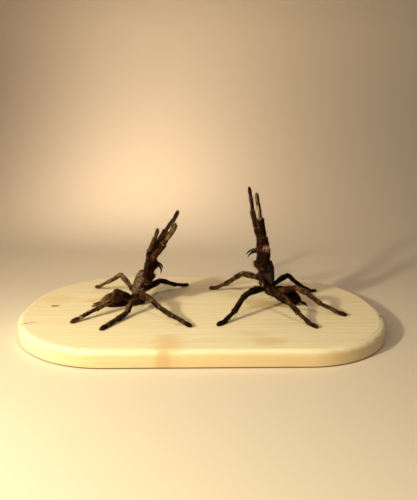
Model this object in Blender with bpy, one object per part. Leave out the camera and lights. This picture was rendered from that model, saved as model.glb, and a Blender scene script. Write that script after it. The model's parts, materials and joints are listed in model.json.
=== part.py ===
"""Two dried tarantulas in their threat pose, facing each other on an oval pine board.

Metres, +Z up.  The origin is the middle of the board's underside.  +X runs along the
board, and +Y points away from the side that the pair is looked at from, so each
tarantula has near limbs at -Y and far limbs at +Y.

Each tarantula parts where a dried one does: at the waist, at the root of each
chelicera, and at the hip of each leg and pedipalp.
"""
import math

import bmesh
import bpy
from mathutils import Matrix, Vector

MM = 0.001
GAP = 0.3 * MM                       # air between neighbouring pieces

# The board
BOARD_LENGTH = 350 * MM
BOARD_DEPTH = 205 * MM
BOARD_THICKNESS = 15 * MM
BOARD_CORNER_RADIUS = 93 * MM
BOARD_ROUNDOVER = 5.5 * MM
BOARD_CORNER_STEPS = 12
ROUNDOVER_STEPS = 4
BOARD_TOP = (Vector((0, 0, BOARD_THICKNESS + GAP)), Vector((0, 0, 1)), BOARD_LENGTH)

# A limb's segments from the hip out, with their lengths in millimetres.  The first
# holds the short trochanter and the femur.
LEG_SEGMENTS = ("femur", "patella", "tibia", "metatarsus", "tarsus")
PALP_SEGMENTS = ("femur", "patella", "tibia", "tarsus")
LIMB_LENGTHS = {
    "leg_1": (20, 10.5, 18, 14, 10.5),
    "leg_2": (19.5, 10.5, 16, 14, 9),
    "leg_3": (17.5, 9.5, 13.5, 14.5, 9),
    "leg_4": (20, 10, 17, 17, 9),
    "pedipalp": (13, 8.5, 12, 9.5),
}
LIMB_THICKNESS = {"leg_1": 1.12, "leg_2": 0.92, "leg_3": 0.92, "leg_4": 0.90, "pedipalp": 0.82}

# Rings along each segment: the share of its length, and the radius in millimetres
SEGMENT_RINGS = {
    "femur": ((0.10, 2.8), (0.17, 2.35), (0.28, 3.3), (0.60, 3.7), (0.90, 3.0)),
    "patella": ((0.17, 2.85), (0.80, 3.0)),
    "tibia": ((0.12, 2.55), (0.55, 2.9), (0.92, 2.8)),
    "metatarsus": ((0.12, 2.1), (0.88, 2.45)),
    "tarsus": ((0.14, 2.2), (0.62, 2.4), (0.92, 1.7)),
}
HIP_RADIUS = 2.5                     # where a limb meets its coxa
HIP_REACH = 5 * MM                   # how far round the hip the two press on each other
JOINT_RADII = {"femur": 2.3, "patella": 2.15, "tibia": 1.85, "metatarsus": 1.8}
TOE_RADIUS = 0.9
LEG_SIDES = 7
PALP_SIDES = 6

# The cephalothorax, in its own frame: x forward, y to its left, z to its back.
# Its outline is widest at the rim, at z = 0.
RIM_HALF_LENGTH = 14.0
RIM_HALF_WIDTH = 10.6
RIM_NARROWING = 0.2                  # how much narrower the head is than the rear
FACE = 12.4                          # the flat front that the chelicerae stand on
RIM_STEPS = 16
BODY_RINGS = (                       # height over the rim, and share of the rim's size
    (-7.2, 0.55), (-5.6, 0.80), (-2.6, 0.95), (0.2, 1.0), (2.4, 0.91), (4.4, 0.70), (5.8, 0.36),
)
HEAD_RISE = 0.45                     # how much the back is higher over the head
CHEST_DEPTH = 0.35                   # how much the underside is deeper under the head

# Where each coxa grows out of the cephalothorax: forward, sideways, up
COXA_ROOTS = {
    "leg_1": (6.0, 4.5, -7.6),
    "leg_2": (-0.5, 5.0, -7.6),
    "leg_3": (-6.5, 5.0, -7.0),
    "leg_4": (-10.5, 4.0, -5.0),
    "pedipalp": (9.4, 4.2, -7.5),
}
COXA_RINGS = ((0.0, 2.8), (0.4, 3.5), (0.8, 3.1))
PALP_COXA_THICKNESS = 0.72
COXA_SIDES = 6

# The blunt lobe under each jaw that the palp's coxa carries, on the animal's left
ENDITE = ((6.0, 3.2, -6.0), (14.2, 2.6, -9.0))
ENDITE_RINGS = ((0.0, 2.0), (0.35, 2.5), (0.8, 2.3), (1.0, 1.3))
ENDITE_SIDES = 7

# A chelicera runs forward from the face, and its fang curls back under it.
# Places are forward and up from the middle of the chelicera's far end.
CHELICERA_LENGTH = 12.6
CHELICERA_SPREAD = 3.4               # from the middle line to each one's axis
CHELICERA_LIFT = -1.0                # its root, from the rim's height
CHELICERA_RINGS = ((0.0, 2.9), (0.18, 3.5), (0.55, 3.8), (0.9, 3.7), (1.14, 2.7), (1.25, 1.2))
CHELICERA_FLATNESS = 0.82            # its width over its height
CHELICERA_SIDES = 9
FANG_CURVE = ((1.0, -2.5), (3.9, -10.5), (-0.9, -14.5))
FANG_RADII = (1.5, 1.45, 1.25, 0.95, 0.6, 0.2)
FANG_SIDES = 6
FANG_SPLAY = 12                      # degrees that the fangs swing apart

# The shrunken abdomen: share of its length, and share of its half height
ABDOMEN_RINGS = (
    (0.0, 0.20), (0.09, 0.22), (0.14, 0.48), (0.25, 0.80), (0.40, 0.97), (0.56, 1.0),
    (0.72, 0.90), (0.85, 0.66), (0.94, 0.40), (1.0, 0.16),
)
ABDOMEN_SIDES = 14
SPINNERET_RINGS = ((0.0, 1.3), (0.35, 1.2), (0.7, 0.85), (1.0, 0.3))
SPINNERET_SIDES = 6
SPINNERET_SPREAD = 2.0               # from the middle line at the root
SPINNERET_SPLAY = 1.2                # and how much further apart the tips are

# The two poses.  Places are millimetres, directions are degrees: a heading of 0 looks
# along +X, and a pitch rises from level.  Each limb has its hip, its heading, and the
# pitch of each segment from the femur out.
RIGHT = {
    "centre": (64.0, 0, 48.8),
    "heading": 180,
    "pitch": 74,
    "chelicera_pitch": -7,
    "fang_closing": {"near": 0, "far": 0},
    "fang_size": 1.0,
    "endite_lift": -0.9,
    "abdomen": {"waist": (66.5, 0, 33.0), "rear": (97.8, -2, 19.6), "half_height": 8.6,
                "half_width": 8.0, "spinneret_tip": (104.4, -4, 16.4)},
    "limbs": {
        "leg_1_near": ((56.6, -16.8, 58.2), 171, (93, 75, 77, 78, 79)),
        "leg_1_far": ((57.4, 17.4, 61), 153, (87, 68, 75, 80, 78)),
        "leg_2_near": ((56.5, -13, 36.4), 222, (2, -18, -43, -26, -3)),
        "leg_2_far": ((56, 12, 40), 142, (4, -38, -38, -29, -12)),
        "leg_3_near": ((63, -13, 32), 307, (7, -28, -31, -25, -2)),
        "leg_3_far": ((66, 12, 36), 72, (9, -16, -37, -40, -14)),
        "leg_4_near": ((72, -9, 32), 340, (17, -22, -34, -22, -13)),
        "leg_4_far": ((73, 9, 35), 32, (17, -41, -35, -28, -4)),
        "pedipalp_near": ((56.5, -10.3, 62), 146, (84, 84, 79, 78)),
        "pedipalp_far": ((58, 9.8, 61.6), 171, (92, 86, 84, 82)),
    },
}
LEFT = {
    "centre": (-64.2, 0, 38.4),
    "heading": 12,
    "pitch": 59,
    "chelicera_pitch": -11,
    "fang_closing": {"near": 28, "far": 2},
    "fang_size": 0.8,
    "endite_lift": 0.8,
    "abdomen": {"waist": (-70.0, -1, 24.6), "rear": (-102.5, -3, 18.6), "half_height": 8.4,
                "half_width": 8.6, "spinneret_tip": (-111.0, -5, 16.2)},
    "limbs": {
        "leg_1_near": ((-55.5, -15.5, 43), 322, (83, 45, 49, 52, 57)),
        "leg_1_far": ((-58, 17, 43), 29, (70, 71, 53, 49, 60)),
        "leg_2_near": ((-64, -15, 33), 320, (-12, -26, -14, -11, -9)),
        "leg_2_far": ((-57, 11, 29), 52, (10, -23, -24, -17, -8)),
        "leg_3_near": ((-61, -12.5, 22.5), 240, (15, -52, -7, -5, -1)),
        "leg_3_far": ((-65, 13, 32), 98, (13, -14, -35, -36, -12)),
        "leg_4_near": ((-73, -9, 23), 220, (40, -65, -14, -15, -11)),
        "leg_4_far": ((-74, 8, 31), 136, (29, -34, -28, -29, -16)),
        "pedipalp_near": ((-53.5, -9.5, 53), 211, (85, 104, 119, 107)),
        "pedipalp_far": ((-54, 12, 51), 11, (98, 72, 42, 50)),
    },
}

# Finishes: colour, roughness
PINE = ((0.80, 0.62, 0.33, 1), 0.5)
LEG_CHITIN = ((0.055, 0.028, 0.018, 1), 0.55)
BACK_CHITIN = ((0.16, 0.11, 0.075, 1), 0.6)
ABDOMEN_SKIN = ((0.06, 0.025, 0.018, 1), 0.8)
FANG_CHITIN = ((0.02, 0.014, 0.012, 1), 0.3)


def clear_scene():
    """Take every object out of the open file."""
    for old in list(bpy.data.objects):
        bpy.data.objects.remove(old, do_unlink=True)


def material(name, finish):
    """One Principled material of a plain colour."""
    colour, roughness = finish
    made = bpy.data.materials.new(name)
    made.use_nodes = True
    shader = made.node_tree.nodes["Principled BSDF"]
    shader.inputs["Base Color"].default_value = colour
    shader.inputs["Roughness"].default_value = roughness
    shader.inputs["Metallic"].default_value = 0.0
    made.diffuse_color = colour
    return made


def add_object(name, shape, finish, smooth_below=50):
    """Turn a bmesh into a named object with its own material."""
    bmesh.ops.recalc_face_normals(shape, faces=shape.faces)
    mesh = bpy.data.meshes.new(name)
    shape.to_mesh(mesh)
    shape.free()
    mesh.shade_smooth()
    mesh.set_sharp_from_angle(angle=math.radians(smooth_below))
    mesh.materials.append(material(name, finish))
    made = bpy.data.objects.new(name, mesh)
    bpy.context.collection.objects.link(made)
    return made


def fuse(target, pieces):
    """Union pieces into target, one after another, so that they are one closed body."""
    for piece in pieces:
        union = target.modifiers.new("grown together", "BOOLEAN")
        union.operation = "UNION"
        union.object = piece
        seen = target.evaluated_get(bpy.context.evaluated_depsgraph_get())
        joined = bpy.data.meshes.new_from_object(seen)
        target.modifiers.clear()
        target.data = joined
        bpy.data.objects.remove(piece, do_unlink=True)


def direction(heading, pitch):
    """The unit vector at a heading and a pitch, both in degrees."""
    level = math.cos(math.radians(pitch))
    turn = math.radians(heading)
    return Vector((level * math.cos(turn), level * math.sin(turn), math.sin(math.radians(pitch))))


def pushed_out(point, planes):
    """The point, moved straight out of each plane's far side.

    A plane is a place on it, its normal, and how far from that place it reaches.
    """
    for place, normal, reach in planes:
        depth = (place - point).dot(normal)
        if depth > 0 and (place - point).length < reach:
            point = point + depth * normal
    return point


def skinned(shape, loops):
    """Join loops of points in order, close both ends and cut the faces into triangles."""
    sides = len(loops[0])
    for one, other in zip(loops, loops[1:]):
        for step in range(sides):
            after = (step + 1) % sides
            shape.faces.new((one[step], one[after], other[after], other[step]))
    shape.faces.new(loops[0])
    shape.faces.new(loops[-1])
    bmesh.ops.triangulate(shape, faces=shape.faces)
    return shape


def sweep(rings, across, sides, flatness=1.0, planes=()):
    """A closed tube through rings, each a centre, a direction and a radius.

    Each ring's width lies along `across` and is `flatness` times its height.  The
    planes flatten it, as the board does where a foot presses on it.
    """
    shape = bmesh.new()
    loops = []
    for centre, along, radius in rings:
        wide = (across - along * across.dot(along)).normalized()
        high = along.cross(wide)
        loop = []
        for step in range(sides):
            angle = math.tau * (step + 0.5) / sides
            point = centre + radius * (flatness * math.cos(angle) * wide + math.sin(angle) * high)
            loop.append(shape.verts.new(pushed_out(point, planes)))
        loops.append(loop)
    return skinned(shape, loops)


def straight_rings(start, end, profile, scale=MM):
    """Rings along a straight line, from (share, radius) pairs."""
    along = (end - start).normalized()
    return [(start.lerp(end, share), along, radius * scale) for share, radius in profile]


def board():
    """The racetrack-shaped board with its upper edge rounded over."""
    shape = bmesh.new()
    half_length = BOARD_LENGTH / 2 - BOARD_CORNER_RADIUS
    half_depth = BOARD_DEPTH / 2 - BOARD_CORNER_RADIUS
    corners = ((half_length, half_depth), (-half_length, half_depth),
               (-half_length, -half_depth), (half_length, -half_depth))
    outline = []
    for quarter, (x, y) in enumerate(corners):
        for step in range(BOARD_CORNER_STEPS + 1):
            angle = math.pi / 2 * (quarter + step / BOARD_CORNER_STEPS)
            reach = Vector((math.cos(angle), math.sin(angle))) * BOARD_CORNER_RADIUS
            outline.append(shape.verts.new((x + reach.x, y + reach.y, 0)))
    underside = shape.faces.new(outline)
    raised = bmesh.ops.extrude_face_region(shape, geom=[underside])["geom"]
    top_points = [item for item in raised if isinstance(item, bmesh.types.BMVert)]
    bmesh.ops.translate(shape, verts=top_points, vec=(0, 0, BOARD_THICKNESS))
    top = next(item for item in raised if isinstance(item, bmesh.types.BMFace))
    bmesh.ops.bevel(shape, geom=list(top.edges), offset=BOARD_ROUNDOVER, affect="EDGES",
                    segments=ROUNDOVER_STEPS, profile=0.5)
    return add_object("board", shape, PINE, smooth_below=30)


def body_frame(pose):
    """The cephalothorax's own frame in the world, in millimetres."""
    place = Matrix.Translation(pose["centre"])
    turn = Matrix.Rotation(math.radians(pose["heading"]), 4, "Z")
    tilt = Matrix.Rotation(-math.radians(pose["pitch"]), 4, "Y")
    return place @ turn @ tilt


def hip_plane(pose, limb):
    """A limb's hip, the direction through it, and its coxa's root, in millimetres."""
    hip, heading, pitches = pose["limbs"][limb]
    hip = Vector(hip)
    frame = body_frame(pose)
    forward, sideways, up = COXA_ROOTS[limb.rsplit("_", 1)[0]]
    side = math.copysign(1, (frame.inverted() @ hip).y)
    root = frame @ Vector((forward, side * sideways, up))
    through = ((hip - root).normalized() + direction(heading, pitches[0])).normalized()
    return hip, through, root


def coxa(pose, limb):
    """The stub between the cephalothorax and one limb, as far as the hip."""
    hip, through, root = hip_plane(pose, limb)
    thickness = PALP_COXA_THICKNESS if limb.startswith("pedipalp") else 1.0
    rings = straight_rings(root * MM, hip * MM, COXA_RINGS, MM * thickness)
    end = hip * MM - through * GAP / 2
    rings.append((end, through, HIP_RADIUS * thickness * MM))
    hip_face = (end, -through, HIP_REACH)
    shape = sweep(rings, through.orthogonal(), COXA_SIDES, planes=(hip_face, BOARD_TOP))
    return add_object("coxa", shape, BACK_CHITIN)


def endite(pose, side):
    """The lobe under one jaw; side is 1 on the animal's left and -1 on its right."""
    frame = body_frame(pose)
    start, end = (frame @ Vector((x, side * y, z)) for x, y, z in ENDITE)
    end += pose["endite_lift"] * (frame.to_3x3() @ Vector((0, 0, 1)))
    rings = straight_rings(start * MM, end * MM, ENDITE_RINGS)
    across = (frame.to_3x3() @ Vector((0, 1, 0))).normalized()
    return add_object("endite", sweep(rings, across, ENDITE_SIDES), BACK_CHITIN)


def limb_joints(pose, limb):
    """The centres of a limb's joints from hip to toe, in millimetres."""
    hip, heading, pitches = pose["limbs"][limb]
    lengths = LIMB_LENGTHS[limb.rsplit("_", 1)[0]]
    joints = [Vector(hip)]
    for length, pitch in zip(lengths, pitches):
        joints.append(joints[-1] + length * direction(heading, pitch))
    return joints


def limb(side, name, pose):
    """One leg or pedipalp from its trochanter to its toe."""
    kind = name.rsplit("_", 1)[0]
    thickness = LIMB_THICKNESS[kind] * MM
    segments = PALP_SEGMENTS if kind == "pedipalp" else LEG_SEGMENTS
    hip, through, _ = hip_plane(pose, name)
    joints = limb_joints(pose, name)
    hip_thickness = (PALP_COXA_THICKNESS if kind == "pedipalp" else 1.0) * MM
    start = hip * MM + through * GAP / 2
    rings = [(start, through, HIP_RADIUS * hip_thickness)]
    hip_face = (start, through, HIP_REACH)
    for number, segment in enumerate(segments):
        near_end, end = joints[number], joints[number + 1]
        rings += straight_rings(near_end * MM, end * MM, SEGMENT_RINGS[segment], thickness)
        along = (end - near_end).normalized()
        if number + 1 < len(segments):
            after = (joints[number + 2] - end).normalized()
            rings.append((end * MM, (along + after).normalized(), JOINT_RADII[segment] * thickness))
        else:
            rings.append((end * MM, along, TOE_RADIUS * thickness))
    across = Vector((0, 0, 1)).cross(direction(pose["limbs"][name][1], 0))
    sides = PALP_SIDES if kind == "pedipalp" else LEG_SIDES
    shape = sweep(rings, across, sides, planes=(hip_face, BOARD_TOP))
    return add_object(f"{side}_{name}", shape, LEG_CHITIN)


def cephalothorax(side, pose):
    """Carapace, sternum, the coxae of all ten limbs and the endites, grown together."""
    frame = Matrix.Scale(MM, 4) @ body_frame(pose)
    shape = bmesh.new()
    loops = []
    for height, share in BODY_RINGS:
        loop = []
        for step in range(RIM_STEPS):
            angle = math.tau * (step + 0.5) / RIM_STEPS
            forward = RIM_HALF_LENGTH * math.cos(angle) * share
            sideways = RIM_HALF_WIDTH * math.sin(angle) * share * (1 - RIM_NARROWING * math.cos(angle))
            swell = HEAD_RISE if height > 0 else CHEST_DEPTH
            rise = 1 + swell * forward / RIM_HALF_LENGTH
            point = Vector((min(forward, FACE), sideways, height * rise))
            loop.append(shape.verts.new(frame @ point))
        loops.append(loop)
    body = add_object(f"{side}_cephalothorax", skinned(shape, loops), BACK_CHITIN)
    fuse(body, [coxa(pose, name) for name in pose["limbs"]])
    fuse(body, [endite(pose, sign) for sign in (-1, 1)])
    return body


def chelicera(side, name, pose, sign):
    """One jaw with its fang; sign is 1 on the animal's left and -1 on its right."""
    root = Vector((FACE, sign * CHELICERA_SPREAD, CHELICERA_LIFT))
    tilt = Matrix.Rotation(-math.radians(pose["chelicera_pitch"]), 4, "Y")
    frame = Matrix.Scale(MM, 4) @ body_frame(pose)
    turned = frame @ Matrix.Translation(root) @ tilt
    across = (turned.to_3x3() @ Vector((0, 1, 0))).normalized()
    forward = (turned.to_3x3() @ Vector((1, 0, 0))).normalized()
    face_normal = (frame.to_3x3() @ Vector((1, 0, 0))).normalized()

    rings = []
    for share, radius in CHELICERA_RINGS:
        centre = turned @ Vector((CHELICERA_LENGTH * share, 0, 0))
        rings.append((centre, forward, radius * MM))
    rings[0] = (rings[0][0] + face_normal * GAP, face_normal, rings[0][2])
    shape = sweep(rings, across, CHELICERA_SIDES, CHELICERA_FLATNESS)
    jaw = add_object(f"{side}_{name}", shape, FANG_CHITIN)

    size = pose["fang_size"]
    first_x, first_z = FANG_CURVE[0]
    hinge = Vector((CHELICERA_LENGTH + first_x, 0, first_z))
    closing = Matrix.Rotation(math.radians(pose["fang_closing"][name.rsplit("_", 1)[1]]), 4, "Y")
    closing = Matrix.Rotation(math.radians(sign * FANG_SPLAY), 4, "X") @ closing
    closed = Matrix.Translation(hinge) @ closing
    knots = [size * Vector((x - first_x, 0, z - first_z)) for x, z in FANG_CURVE]
    start, middle, tip = (closed @ knot for knot in knots)
    fang_rings = []
    for number, radius in enumerate(FANG_RADII):
        t = number / (len(FANG_RADII) - 1)
        place = start.lerp(middle, t).lerp(middle.lerp(tip, t), t)
        along = (middle - start).lerp(tip - middle, t)
        fang_rings.append((turned @ place, (turned.to_3x3() @ along).normalized(), radius * size * MM))
    fang = add_object("fang", sweep(fang_rings, across, FANG_SIDES), FANG_CHITIN)
    fuse(jaw, [fang])
    return jaw


def abdomen(side, pose):
    """The shrunken abdomen with its thin waist in front and two long spinnerets behind."""
    facts = pose["abdomen"]
    waist, rear, tip = (Vector(facts[key]) for key in ("waist", "rear", "spinneret_tip"))
    height = facts["half_height"]
    along = (rear - waist).normalized()
    across = Vector((0, 0, 1)).cross(along).normalized()
    profile = [(share, size * height) for share, size in ABDOMEN_RINGS]
    rings = straight_rings(waist * MM, rear * MM, profile)
    flatness = facts["half_width"] / height
    shape = sweep(rings, across, ABDOMEN_SIDES, flatness, planes=(BOARD_TOP,))
    body = add_object(f"{side}_abdomen", shape, ABDOMEN_SKIN)
    spinnerets = []
    for sign in (-1, 1):
        root = waist.lerp(rear, 0.9) + across * sign * SPINNERET_SPREAD
        end = tip + across * sign * (SPINNERET_SPREAD + SPINNERET_SPLAY)
        tube_rings = straight_rings(root * MM, end * MM, SPINNERET_RINGS)
        tube = sweep(tube_rings, across, SPINNERET_SIDES, planes=(BOARD_TOP,))
        spinnerets.append(add_object("spinneret", tube, ABDOMEN_SKIN))
    fuse(body, spinnerets)
    return body


def tarantula(side, pose):
    """One tarantula as its named pieces."""
    cephalothorax(side, pose)
    abdomen(side, pose)
    near_sign = math.copysign(1, -(body_frame(pose).to_3x3() @ Vector((0, 1, 0))).y)
    chelicera(side, "chelicera_near", pose, near_sign)
    chelicera(side, "chelicera_far", pose, -near_sign)
    for name in pose["limbs"]:
        limb(side, name, pose)


clear_scene()
board()
tarantula("left", LEFT)
tarantula("right", RIGHT)
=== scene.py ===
"""Two dried tarantulas in their threat pose, facing each other on an oval pine board.

The surfaces, hair, wood and light of the mounted pair.  The shapes are worked out in
millimetres, in the frame of the solids: +X along the board, +Y away from the side that
the pair is looked at from, +Z up.
"""
import json
import math

import bpy
import numpy as np
from mathutils import Matrix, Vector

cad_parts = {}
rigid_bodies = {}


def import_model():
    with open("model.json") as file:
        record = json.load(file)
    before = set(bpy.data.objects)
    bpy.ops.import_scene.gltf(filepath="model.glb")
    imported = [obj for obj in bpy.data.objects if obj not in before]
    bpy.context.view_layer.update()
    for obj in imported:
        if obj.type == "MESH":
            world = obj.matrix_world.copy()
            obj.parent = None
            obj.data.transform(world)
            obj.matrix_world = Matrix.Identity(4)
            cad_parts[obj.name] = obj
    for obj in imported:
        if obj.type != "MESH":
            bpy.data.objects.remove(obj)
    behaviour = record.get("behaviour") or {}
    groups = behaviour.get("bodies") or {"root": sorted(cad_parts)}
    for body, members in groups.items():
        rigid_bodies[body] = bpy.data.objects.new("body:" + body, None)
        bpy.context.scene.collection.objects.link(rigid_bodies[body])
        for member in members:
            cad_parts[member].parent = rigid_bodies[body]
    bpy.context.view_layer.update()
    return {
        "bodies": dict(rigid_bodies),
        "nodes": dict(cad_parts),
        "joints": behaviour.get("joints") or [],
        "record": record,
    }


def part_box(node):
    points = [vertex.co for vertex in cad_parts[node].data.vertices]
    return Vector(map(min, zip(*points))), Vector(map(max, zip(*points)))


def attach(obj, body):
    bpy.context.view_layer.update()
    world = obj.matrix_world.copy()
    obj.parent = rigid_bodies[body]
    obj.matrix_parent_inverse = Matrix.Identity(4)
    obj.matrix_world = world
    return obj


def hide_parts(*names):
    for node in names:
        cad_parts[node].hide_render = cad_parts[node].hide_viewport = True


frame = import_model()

bl_info = {
    "name": "Mounted Tarantula Pair",
    "version": (1, 0, 0),
    "blender": (4, 5, 0),
    "location": "3D View > Sidebar > Specimen",
    "description": "Two dried tarantulas in their threat pose on an oval pine board",
    "category": "Add Mesh",
}

MM = 0.001
UP = np.array((0.0, 0.0, 1.0))
BODY = "root"

# A limb's segments from the hip out, with their lengths.  The first holds the short
# trochanter and the femur.
LEG_SEGMENTS = ("femur", "patella", "tibia", "metatarsus", "tarsus")
PALP_SEGMENTS = ("femur", "patella", "tibia", "tarsus")
LIMB_LENGTHS = {
    "leg_1": (20, 10.5, 18, 14, 10.5),
    "leg_2": (19.5, 10.5, 16, 14, 9),
    "leg_3": (17.5, 9.5, 13.5, 14.5, 9),
    "leg_4": (20, 10, 17, 17, 9),
    "pedipalp": (13, 8.5, 12, 9.5),
}
LIMB_THICKNESS = {"leg_1": 1.12, "leg_2": 0.92, "leg_3": 0.92, "leg_4": 0.90, "pedipalp": 0.82}

# The rigid shell of each segment: share of its length, and radius.  Both ends turn in.
SHELLS = {
    "trochanter": ((0.015, 1.5), (0.0, 2.2), (0.02, 2.6), (0.07, 2.95), (0.12, 2.85),
                   (0.155, 2.45), (0.15, 1.6)),
    "femur": ((0.165, 1.3), (0.15, 2.0), (0.175, 2.5), (0.24, 3.05), (0.40, 3.6), (0.60, 3.7),
              (0.80, 3.3), (0.92, 3.05), (0.972, 3.02), (0.985, 2.6), (0.965, 1.9)),
    "patella": ((0.06, 1.4), (0.0, 2.1), (0.05, 2.6), (0.17, 2.9), (0.45, 3.0), (0.75, 3.02),
                (0.90, 3.05), (0.955, 3.0), (0.975, 2.5), (0.93, 1.7)),
    "tibia": ((0.05, 1.2), (0.01, 1.8), (0.045, 2.3), (0.12, 2.6), (0.35, 2.8), (0.60, 2.88),
              (0.85, 2.95), (0.945, 3.1), (0.975, 3.0), (0.98, 2.4), (0.95, 1.6)),
    "metatarsus": ((0.06, 1.1), (0.015, 1.6), (0.05, 2.0), (0.12, 2.15), (0.40, 2.2),
                   (0.70, 2.4), (0.88, 2.5), (0.955, 2.45), (0.975, 2.0), (0.94, 1.4)),
    "tarsus": ((0.08, 1.1), (0.02, 1.6), (0.06, 2.0), (0.14, 2.25), (0.40, 2.5), (0.62, 2.5),
               (0.82, 2.15), (0.94, 1.45), (1.0, 0.55)),
}
JOINT_RADII = {"femur": 2.35, "patella": 2.2, "tibia": 1.95, "metatarsus": 1.85}
HIP_RADIUS = 2.5

# The cephalothorax in its own frame: x forward, y to its left, z to its back
RIM_HALF_LENGTH = 14.0
RIM_HALF_WIDTH = 10.6
RIM_NARROWING = 0.2
FACE = 12.4
BACK_HEIGHT = 5.8
CHEST_HEIGHT = 7.4
HEAD_RISE = 0.45
CHEST_DEPTH = 0.35
FOVEA = -2.6                          # the pit in the middle of the back
EYE_MOUND = 11.2                      # and the low mound that carries the eyes
COXA_ROOTS = {
    "leg_1": (6.0, 4.5, -7.6),
    "leg_2": (-0.5, 5.0, -7.6),
    "leg_3": (-6.5, 5.0, -7.0),
    "leg_4": (-10.5, 4.0, -5.0),
    "pedipalp": (9.4, 4.2, -7.5),
}
ENDITE = ((6.0, 3.2, -6.0), (14.2, 2.6, -9.0))
FRINGE = {"left": 0.35, "right": 1.25}    # how long and reddish the hair below the jaws is
ENDITE_SHELL = ((0.0, 1.9), (0.35, 2.4), (0.6, 2.4), (0.8, 2.2), (0.93, 1.7), (1.0, 1.0))
COXA_SHELL = ((0.0, 2.4), (0.2, 3.2), (0.42, 3.55), (0.7, 3.4), (0.9, 3.15), (0.965, 2.9),
              (0.96, 2.0))
PALP_COXA_THICKNESS = 0.72

# A chelicera runs forward from the face, and its fang curls back under it
CHELICERA_LENGTH = 12.6
CHELICERA_SPREAD = 3.4
CHELICERA_LIFT = -1.0
CHELICERA_SHELL = ((0.0, 2.4), (0.05, 2.9), (0.18, 3.5), (0.4, 3.8), (0.62, 3.9), (0.85, 3.85),
                   (1.02, 3.4), (1.14, 2.6), (1.22, 1.5), (1.25, 0.6))
CHELICERA_FLATNESS = 0.82
FANG_CURVE = ((1.0, -2.5), (3.9, -10.5), (-0.9, -14.5))
FANG_RADII = (1.55, 1.5, 1.3, 1.0, 0.62, 0.16)
FANG_SPLAY = 12
FANG_FLATNESS = 0.86

# The shrunken abdomen: share of its length, and share of its half height
ABDOMEN_SHELL = (
    (0.0, 0.19), (0.09, 0.21), (0.14, 0.46), (0.25, 0.80), (0.40, 0.97), (0.56, 1.0),
    (0.72, 0.91), (0.85, 0.68), (0.94, 0.42), (1.0, 0.14),
)
SPINNERET_SHELL = ((0.0, 1.2), (0.33, 1.25), (0.36, 1.0), (0.39, 1.1), (0.66, 0.95), (0.69, 0.75),
                   (0.72, 0.82), (0.9, 0.6), (1.0, 0.2))
SPINNERET_JOINTS = (0.36, 0.69)
SPINNERET_SPREAD = 2.0
SPINNERET_SPLAY = 1.2

# How thick each skin is beside its solid: a little less, because hair adds to it
BACK_FIT = 0.97
COXA_FIT = 0.9
ENDITE_FIT = 0.93
JAW_FIT = 0.93
FANG_FIT = 0.97
ABDOMEN_FIT = 0.95
SPINNERET_FIT = 0.92
HIP_BALL_FIT = 0.92
JOINT_BALL_FIT = 1.04

# The two poses.  Places are millimetres and directions are degrees: each limb has its
# hip, its heading, and the pitch of each segment from the femur out.
RIGHT = {
    "centre": (64.0, 0, 48.8),
    "heading": 180,
    "pitch": 74,
    "chelicera_pitch": -7,
    "fang_closing": {"near": 0, "far": 0},
    "fang_size": 1.0,
    "endite_lift": -0.9,
    "abdomen": {"waist": (66.5, 0, 33.0), "rear": (97.8, -2, 19.6), "half_height": 8.6,
                "half_width": 8.0, "spinneret_tip": (104.4, -4, 16.4), "rear_wear": 0.1},
    "limbs": {
        "leg_1_near": ((56.6, -16.8, 58.2), 171, (93, 75, 77, 78, 79)),
        "leg_1_far": ((57.4, 17.4, 61), 153, (87, 68, 75, 80, 78)),
        "leg_2_near": ((56.5, -13, 36.4), 222, (2, -18, -43, -26, -3)),
        "leg_2_far": ((56, 12, 40), 142, (4, -38, -38, -29, -12)),
        "leg_3_near": ((63, -13, 32), 307, (7, -28, -31, -25, -2)),
        "leg_3_far": ((66, 12, 36), 72, (9, -16, -37, -40, -14)),
        "leg_4_near": ((72, -9, 32), 340, (17, -22, -34, -22, -13)),
        "leg_4_far": ((73, 9, 35), 32, (17, -41, -35, -28, -4)),
        "pedipalp_near": ((56.5, -10.3, 62), 146, (84, 84, 79, 78)),
        "pedipalp_far": ((58, 9.8, 61.6), 171, (92, 86, 84, 82)),
    },
}
LEFT = {
    "centre": (-64.2, 0, 38.4),
    "heading": 12,
    "pitch": 59,
    "chelicera_pitch": -11,
    "fang_closing": {"near": 28, "far": 2},
    "fang_size": 0.8,
    "endite_lift": 0.8,
    "abdomen": {"waist": (-70.0, -1, 24.6), "rear": (-102.5, -3, 18.6), "half_height": 8.4,
                "half_width": 8.6, "spinneret_tip": (-111.0, -5, 16.2), "rear_wear": 1.0},
    "limbs": {
        "leg_1_near": ((-55.5, -15.5, 43), 322, (83, 45, 49, 52, 57)),
        "leg_1_far": ((-58, 17, 43), 29, (70, 71, 53, 49, 60)),
        "leg_2_near": ((-64, -15, 33), 320, (-12, -26, -14, -11, -9)),
        "leg_2_far": ((-57, 11, 29), 52, (10, -23, -24, -17, -8)),
        "leg_3_near": ((-61, -12.5, 22.5), 240, (15, -52, -7, -5, -1)),
        "leg_3_far": ((-65, 13, 32), 98, (13, -14, -35, -36, -12)),
        "leg_4_near": ((-73, -9, 23), 220, (40, -65, -14, -15, -11)),
        "leg_4_far": ((-74, 8, 31), 136, (29, -34, -28, -29, -16)),
        "pedipalp_near": ((-53.5, -9.5, 53), 211, (85, 104, 119, 107)),
        "pedipalp_far": ((-54, 12, 51), 11, (98, 72, 42, 50)),
    },
}
POSES = {"left": LEFT, "right": RIGHT}

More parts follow.
